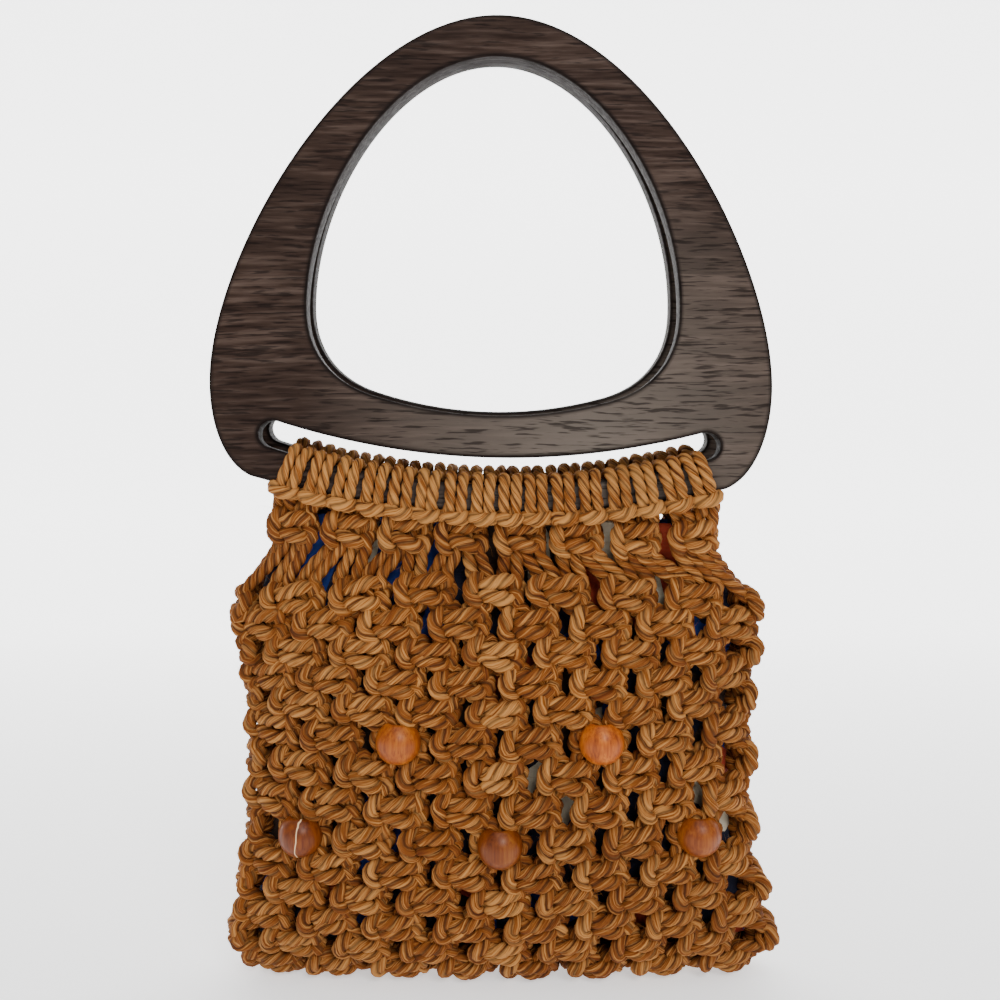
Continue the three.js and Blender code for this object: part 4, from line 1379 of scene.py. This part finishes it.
@dataclass(frozen=True)
class KnottedNet:
    """Net of 64 cords round the bag, tied in rows of square knots, each row half a knot beside the last."""

    body: NetBody
    hitches: BarHitches
    beads: tuple[WoodenBead, ...]
    cord: LaidCord = LaidCord(diameter=6.2, lay=18.0)
    knot_unit: float = CORD
    strands: int = 64
    width_share: float = 1.22
    side_width_share: float = 1.32
    side_cells: float = 2.5
    top_width_share: float = 1.0
    top_height_share: float = 1.1
    depth_share: float = 0.9
    knot_height: float = 2.5
    highest_pitch: float = 15.5
    pitch_gap: float = 1.0
    stretch_limits: tuple[float, float] = (0.94, 1.25)
    turn_spread: float = 0.07
    slide_spread: float = 0.45
    size_spread: float = 0.03
    tone_spread: float = 0.05
    swell: float = 0.18
    loose: float = 0.07
    threaded_share: float = 0.4
    seam_rows: tuple[float, ...] = (15.62, 15.93, 15.75, 15.2)
    seam_insets: tuple[float, ...] = (0.4, 1.0, 6.5, 8.0)
    hair_count: int = 1600
    hair_radius: float = 0.07
    hair_points: int = 4
    hair_length: tuple[float, float] = (2.0, 6.5)
    hair_slant: tuple[float, float] = (0.3, 0.9)
    hair_bend: float = 0.28
    hair_droop: float = 0.25
    hair_taper: float = 0.75
    hair_tone: tuple[float, float] = (0.05, 0.35)

    def knot_of(self, strand: int, row: int) -> tuple[int, Role]:
        """The knot that a strand passes in a row.

        Args:
            strand: number of the strand.
            row: row of knots.

        Returns:
            Cell of the knot, and the strand's part in it.
        """
        shift = 0 if row % 2 else 2
        turn = (strand - shift) % self.strands
        return (turn // 4 * 2 + 1 + shift // 2) % self.body.round_cells, Role(turn % 4)

    def knots(self, random: np.random.Generator) -> dict[tuple[int, int], tuple[np.ndarray, ...]]:
        """Middle, directions, stretch and looseness of every knot.

        Args:
            random: source of the small differences between knots.

        Returns:
            For each row and cell, the knot's middle, its three axes as rows, and its own scale.
        """
        found = {}
        for row in range(1, self.body.last_row):
            cells = np.arange(row % 2, self.body.round_cells, 2)
            middles = self.body.place(cells, np.full(len(cells), row))
            right, down, out = self.body.directions(cells.astype(float), np.full(len(cells), float(row)))
            room = min(self.body.pitch(row), self.highest_pitch) - self.pitch_gap
            stretch = np.clip(room / (self.knot_height * self.knot_unit), *self.stretch_limits)
            stretch = stretch * (self.top_height_share if row == 1 else 1.0)
            for k, cell in enumerate(cells):
                turn = random.normal(0, self.turn_spread)
                axes = np.stack([right[k] * math.cos(turn) + down[k] * math.sin(turn),
                                 down[k] * math.cos(turn) - right[k] * math.sin(turn), out[k]])
                slide = random.normal(0, self.slide_spread, 2)
                middle = middles[k] + right[k] * slide[0] + down[k] * slide[1]
                beside = min(cell % self.body.cells, -cell % self.body.cells) < self.side_cells
                width = self.side_width_share if beside else self.width_share
                width = self.top_width_share if row == 1 else width
                own_width = random.normal(width, self.size_spread)
                own_height = stretch * random.normal(1, self.size_spread)
                found[row, int(cell)] = (middle, axes, np.array([own_width, own_height, self.depth_share]))
        return found

    def path(self, strand: int, knots: dict, random: np.random.Generator) -> np.ndarray:
        """Points that one cord passes, from its hitch through its knots to the seam inside the bottom.

        Args:
            strand: number of the strand.
            knots: every knot's place.
            random: source of small unevenness.

        Returns:
            Points in millimetres, with the cord's fullness at each: it swells where it lies free on top.
        """
        side = Side.FRONT if strand < self.strands // 2 else Side.BACK
        seen = strand if side is Side.FRONT else self.strands - 1 - strand
        beaded = {(bead.row, bead.cell) for bead in self.beads}
        leg = self.hitches.leg(side, seen)
        runs = [np.column_stack([leg, np.ones(len(leg))])]
        for row in range(1, self.body.last_row):
            cell, role = self.knot_of(strand, row)
            middle, axes, scale = knots[row, cell]
            threaded = (row, cell) in beaded
            shape = np.array((BEAD_PATHS if threaded else KNOT_PATHS)[role], float)
            if threaded:
                middle = self.body.place(np.array([cell]), np.array([row]))[0]
                scale = np.ones(3)
            fullness = 1 + (0.0 if threaded else self.swell) * np.clip(shape[:, 2], 0, 1)
            stray = random.normal(0, self.loose, shape.shape) * (self.threaded_share if threaded else 1)
            shape = shape * scale + stray
            runs.append(np.column_stack([middle + self.knot_unit * shape @ axes, fullness]))
        cells = np.full(len(self.seam_rows), (strand + 0.5) / 2)
        seam = self.body.place(cells, np.array(self.seam_rows), np.array(self.seam_insets))
        runs.append(np.column_stack([seam, np.ones(len(seam))]))
        return np.concatenate(runs)

    def build(self, random: np.random.Generator) -> list[tuple[bpy.types.Object, Side]]:
        """Builds the net in four pieces, the left and right half of each side.

        Args:
            random: source of small unevenness.

        Returns:
            Each piece with the side it belongs to.
        """
        knots = self.knots(random)
        quarter = self.strands // 4
        names = ("front_net_left", "front_net_right", "back_net_right", "back_net_left")
        pieces = []
        for part, name in enumerate(names):
            cords = []
            for strand in range(part * quarter, (part + 1) * quarter):
                path = spline(self.path(strand, knots, random))
                cords.append(self.cord.along(path, random.random(), random.normal(0, self.tone_spread)))
            net = Surface.joined(cords)
            side = Side.FRONT if part < 2 else Side.BACK
            pieces.append((net.to_object(name), side))
            pieces.append((self.hairs(net, random).to_object(name + "_fibres"), side))
        return pieces

    def hairs(self, net: Surface, random: np.random.Generator) -> Surface:
        """Loose fibres that stand off the cords: thin three-sided tubes that leave the surface at a slant and
        curl, their middle a point plus a straight part times t and a bend times t squared.

        Args:
            net: surface of the cords.
            random: source of the places and bends.

        Returns:
            The fibres.
        """
        quads = np.concatenate([face for face in net.faces if face.shape[1] == 4])
        chosen = quads[random.choice(len(quads), self.hair_count, replace=False)]
        corner = net.points[chosen]
        root = corner.mean(axis=1)
        outward = unit(np.cross(corner[:, 1] - corner[:, 0], corner[:, 3] - corner[:, 0]))
        forward = unit(corner[:, 3] - corner[:, 0]) * random.choice([-1, 1], (self.hair_count, 1))
        length = random.uniform(*self.hair_length, (self.hair_count, 1))
        straight = unit(forward + outward * random.uniform(*self.hair_slant, (self.hair_count, 1))) * length
        bend = random.normal(0, self.hair_bend, (self.hair_count, 3)) * length
        bend = bend - outward * length * self.hair_droop
        t = np.linspace(0, 1, self.hair_points)[None, :, None]
        middle = root[:, None] + straight[:, None] * t + bend[:, None] * t**2
        aside = unit(np.cross(forward, outward))[:, None]
        beside = unit(np.cross(aside, straight[:, None]))
        thin = self.hair_radius * (1 - self.hair_taper * t)
        rows, size = self.hair_points, 3
        around = (np.arange(size) / size * FULL_TURN)[:, None]
        reach = aside[:, :, None] * np.cos(around) + beside[:, :, None] * np.sin(around)
        ring = middle[:, :, None] + thin[..., None] * reach
        single = grid_faces(rows, size)
        last = (rows - 1) * size
        closing = np.array([[2, 1, 0], [last, last + 1, last + 2]])
        each = rows * size
        starts = (np.arange(self.hair_count) * each)[:, None, None]
        faces = [(single[None] + starts).reshape(-1, 4), (closing[None] + starts).reshape(-1, 3)]
        place = np.repeat(random.random((self.hair_count, 3)), each, axis=0)
        tone = np.repeat(random.uniform(*self.hair_tone, self.hair_count), each)
        values = {"fibre_place": place, "groove": np.zeros(len(tone)), "tone": tone}
        return Surface(ring.reshape(-1, 3), faces, values)


@dataclass(frozen=True)
class ClothLining:
    """Cotton pouch sewn in at the neck: a sheet folded at the bottom, hanging in soft upright folds.

    Each fold wave has a height in millimetres, a rate round the bag, a rate down it, and a start.
    """

    body: NetBody
    inset: float = 9.0
    side_inset: float = 4.5
    seam_inset: float = 3.0
    thickness: float = 0.5
    seam_row: float = 0.0
    hem_rise: float = 2.5
    full_row: float = 2.0
    last_row: float = 14.2
    columns: int = 164
    neck_levels: int = 15
    levels: int = 62
    folds: tuple[tuple[float, float, float, float], ...] = (
        (0.55, 2.35, 0.4, 0), (0.35, 5.1, -0.7, 1), (0.3, 0.6, 1.9, 0))
    side_start: float = 0.62
    side_calm: float = 0.8
    hem_rows: float = 0.5
    cloth_pitch: tuple[float, float] = (14.5, 13.2)

    def build(self) -> bpy.types.Object:
        """Builds the pouch: a surface inside the net whose inset grows from the seam to its full value,
        which is smaller at the two sides, and waves with the distance round the bag.

        Returns:
            The cloth, thickened by a solidify modifier.
        """
        cell = np.arange(self.columns) / self.columns * self.body.round_cells
        row = np.concatenate([np.linspace(self.seam_row, self.full_row, self.neck_levels),
                              np.linspace(self.full_row, self.last_row, self.levels - self.neck_levels)[1:]])
        cells, rows = np.meshgrid(cell, row)
        drawn = np.clip((rows - self.seam_row) / (self.full_row - self.seam_row), 0, 1)
        drawn = drawn * drawn * (3 - 2 * drawn)
        fold = sum(height * np.sin(cells * around + rows * down + start)
                   for height, around, down, start in self.folds)
        from_middle = np.abs(np.mod(cells, self.body.cells) / self.body.cells * 2 - 1)
        beside = np.clip((from_middle - self.side_start) / (1 - self.side_start), 0, 1)
        full = self.inset + (self.side_inset - self.inset) * beside
        calmed = fold * drawn * (1 - self.side_calm * beside)
        inset = self.seam_inset + (full - self.seam_inset) * drawn + calmed
        points = self.body.place(cells, rows, inset)
        points[:, 2] += self.hem_rise * np.clip(1 - rows.ravel() / self.hem_rows, 0, 1)
        count, size = cells.shape
        half = size // 2
        last = (count - 1) * size
        column = np.arange(half)
        closing = np.column_stack([last + column, last + (column + 1) % size,
                                   last + (size - column - 1) % size, last + (size - column) % size])
        faces = np.concatenate([grid_faces(count, size), closing])[:, ::-1]
        across, down = self.cloth_pitch
        place = np.stack([cells * across, rows * down, np.zeros_like(cells)], axis=-1).reshape(-1, 3) * MM
        piece = Surface(points.reshape(-1, 3), [faces], {"cloth_place": place}).to_object("cotton_pouch")
        solid = piece.modifiers.new("cloth", "SOLIDIFY")
        solid.thickness = self.thickness * MM
        solid.offset = -1
        return piece


@dataclass(frozen=True)
class Studio:
    """Pale floor that curves up into a backdrop, soft lights, and the camera.

    The floor and backdrop are in millimetres. Each light has a name, a place and a size in metres, and a
    power in watts.
    """

    floor_level: float = -416.5
    floor_front: tuple[float, float] = (-3000.0, -900.0)
    backdrop_reach: float = 1500.0
    backdrop_radius: float = 700.0
    backdrop_height: float = 3200.0
    backdrop_half_width: float = 3600.0
    backdrop_steps: int = 24
    backdrop_columns: int = 8
    lights: tuple[tuple[str, tuple[float, float, float], float, float], ...] = (
        ("key", (0.45, -1.3, 0.80), 0.7, 20.0),
        ("fill", (-1.1, -1.2, 0.1), 1.2, 3.5),
        ("top", (0.0, -0.3, 1.4), 1.2, 9.0))
    aim: tuple[float, float, float] = (0.0, 0.0, -0.25)
    sky_strength: float = 0.35
    camera_place: tuple[float, float, float] = (0.0, -478.88, -160.91)
    camera_tilt: float = 4.0
    lens: float = 37.62

    def backdrop(self, finish: bpy.types.Material) -> bpy.types.Object:
        """Builds the floor and backdrop: a flat run, a quarter circle and a wall, carried along X.

        Args:
            finish: their material.

        Returns:
            The backdrop.
        """
        reach, radius = self.backdrop_reach, self.backdrop_radius
        turn = np.linspace(0, math.pi / 2, self.backdrop_steps + 1)
        y = np.concatenate([self.floor_front, reach - radius + radius * np.sin(turn), [reach]])
        z = np.concatenate([[0, 0], radius * (1 - np.cos(turn)), [self.backdrop_height]]) + self.floor_level
        x = np.linspace(-self.backdrop_half_width, self.backdrop_half_width, self.backdrop_columns + 1)
        points = np.stack(np.broadcast_arrays(x, y[:, None], z[:, None]), axis=-1)
        row, column = np.meshgrid(np.arange(len(y) - 1), np.arange(len(x) - 1), indexing="ij")
        first = (row * len(x) + column).ravel()
        faces = np.column_stack([first, first + 1, first + len(x) + 1, first + len(x)])
        piece = Surface(points.reshape(-1, 3), [faces]).to_object("backdrop")
        piece.data.materials.append(finish)
        return piece

    def light(self, name: str, place: tuple[float, float, float], size: float,
              power: float) -> bpy.types.Object:
        """A white square area light that faces the middle of the bag.

        Args:
            name: name of the light.
            place: where it hangs.
            size: length of its side.
            power: its power.

        Returns:
            The light.
        """
        lamp = bpy.data.lights.new(name, "AREA")
        lamp.size = size
        lamp.energy = power
        holder = bpy.data.objects.new(name, lamp)
        holder.location = place
        holder.rotation_euler = (Vector(self.aim) - Vector(place)).to_track_quat("-Z", "Y").to_euler()
        bpy.context.scene.collection.objects.link(holder)
        return holder

    def build(self) -> None:
        """Builds the stage, the lights, the sky and the camera."""
        self.backdrop(PaleFloor().build())
        for name, place, size, power in self.lights:
            self.light(name, place, size, power)
        world = bpy.data.worlds.new("sky")
        world.use_nodes = True
        sky = world.node_tree.nodes["Background"]
        sky.inputs["Color"].default_value = (1, 1, 1, 1)
        sky.inputs["Strength"].default_value = self.sky_strength
        bpy.context.scene.world = world
        camera = bpy.data.cameras.new("camera")
        camera.lens = self.lens
        camera.sensor_width = 36.0
        camera.clip_start = 0.01
        holder = bpy.data.objects.new("camera", camera)
        holder.location = Vector(self.camera_place) * MM
        holder.rotation_euler = (math.radians(90 - self.camera_tilt), 0, 0)
        bpy.context.scene.collection.objects.link(holder)
        bpy.context.scene.camera = holder


def settle(piece: bpy.types.Object, slot: str, finish: bpy.types.Material | None, *nodes: str) -> None:
    """Rides a piece on the bag, logs its slot, gives it its finish and hides the solids it stands for.

    Args:
        piece: the piece.
        slot: name of its material slot, for the log.
        finish: its material, or None where it has one.
        nodes: solids that the piece replaces.
    """
    if finish is not None:
        piece.data.materials.append(finish)
    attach(piece, "root")
    if nodes:
        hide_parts(*nodes)
    LOG.info("%s: %d faces on slot %s", piece.name, len(piece.data.polygons), slot)


def main() -> None:
    """Builds the bag and its stage in order."""
    random = np.random.default_rng(SEED)
    effects = SharedEffects()
    walnut, jute = StainedWalnut().build(effects), TwistedJute().build(effects)
    body, handle = NetBody(), HoopHandle()
    hitches = BarHitches(handle)
    # Painted light and shade: the upper beads get a lighter factor on their colour, the lower beads a darker
    # one.
    beads = (
        WoodenBead("upper_left_bead", row=7, cell=5, painted_shading=0.92),
        WoodenBead("upper_right_bead", row=7, cell=11, painted_shading=1.22),
        WoodenBead("lower_left_bead", row=10, cell=2, painted_shading=0.58, cracked=True),
        WoodenBead("lower_middle_bead", row=10, cell=8, painted_shading=0.52),
        WoodenBead("lower_right_bead", row=10, cell=14, painted_shading=0.65),
    )
    Studio().build()
    for side in Side:
        word = side.name.lower()
        settle(handle.build(side), "handle_wood", walnut, f"{word}_handle")
        settle(hitches.build(side, random), "jute_cord", jute, f"{word}_mounting_knots")
    for piece, side in KnottedNet(body, hitches, beads).build(random):
        settle(piece, "jute_cord", jute, f"{side.name.lower()}_net")
    for bead in beads:
        finish = VarnishedBead().build(effects, bead.name + "_wood", bead.painted_shading, bead.cracked)
        settle(bead.build(body, finish), "bead_wood", None, bead.name)
    lining = ClothLining(body).build()
    settle(lining, "lining_cloth", PrintedCotton().build(effects), "lining")


if __name__ == "__main__":
    logging.basicConfig(level=logging.INFO, format="%(message)s")
    main()
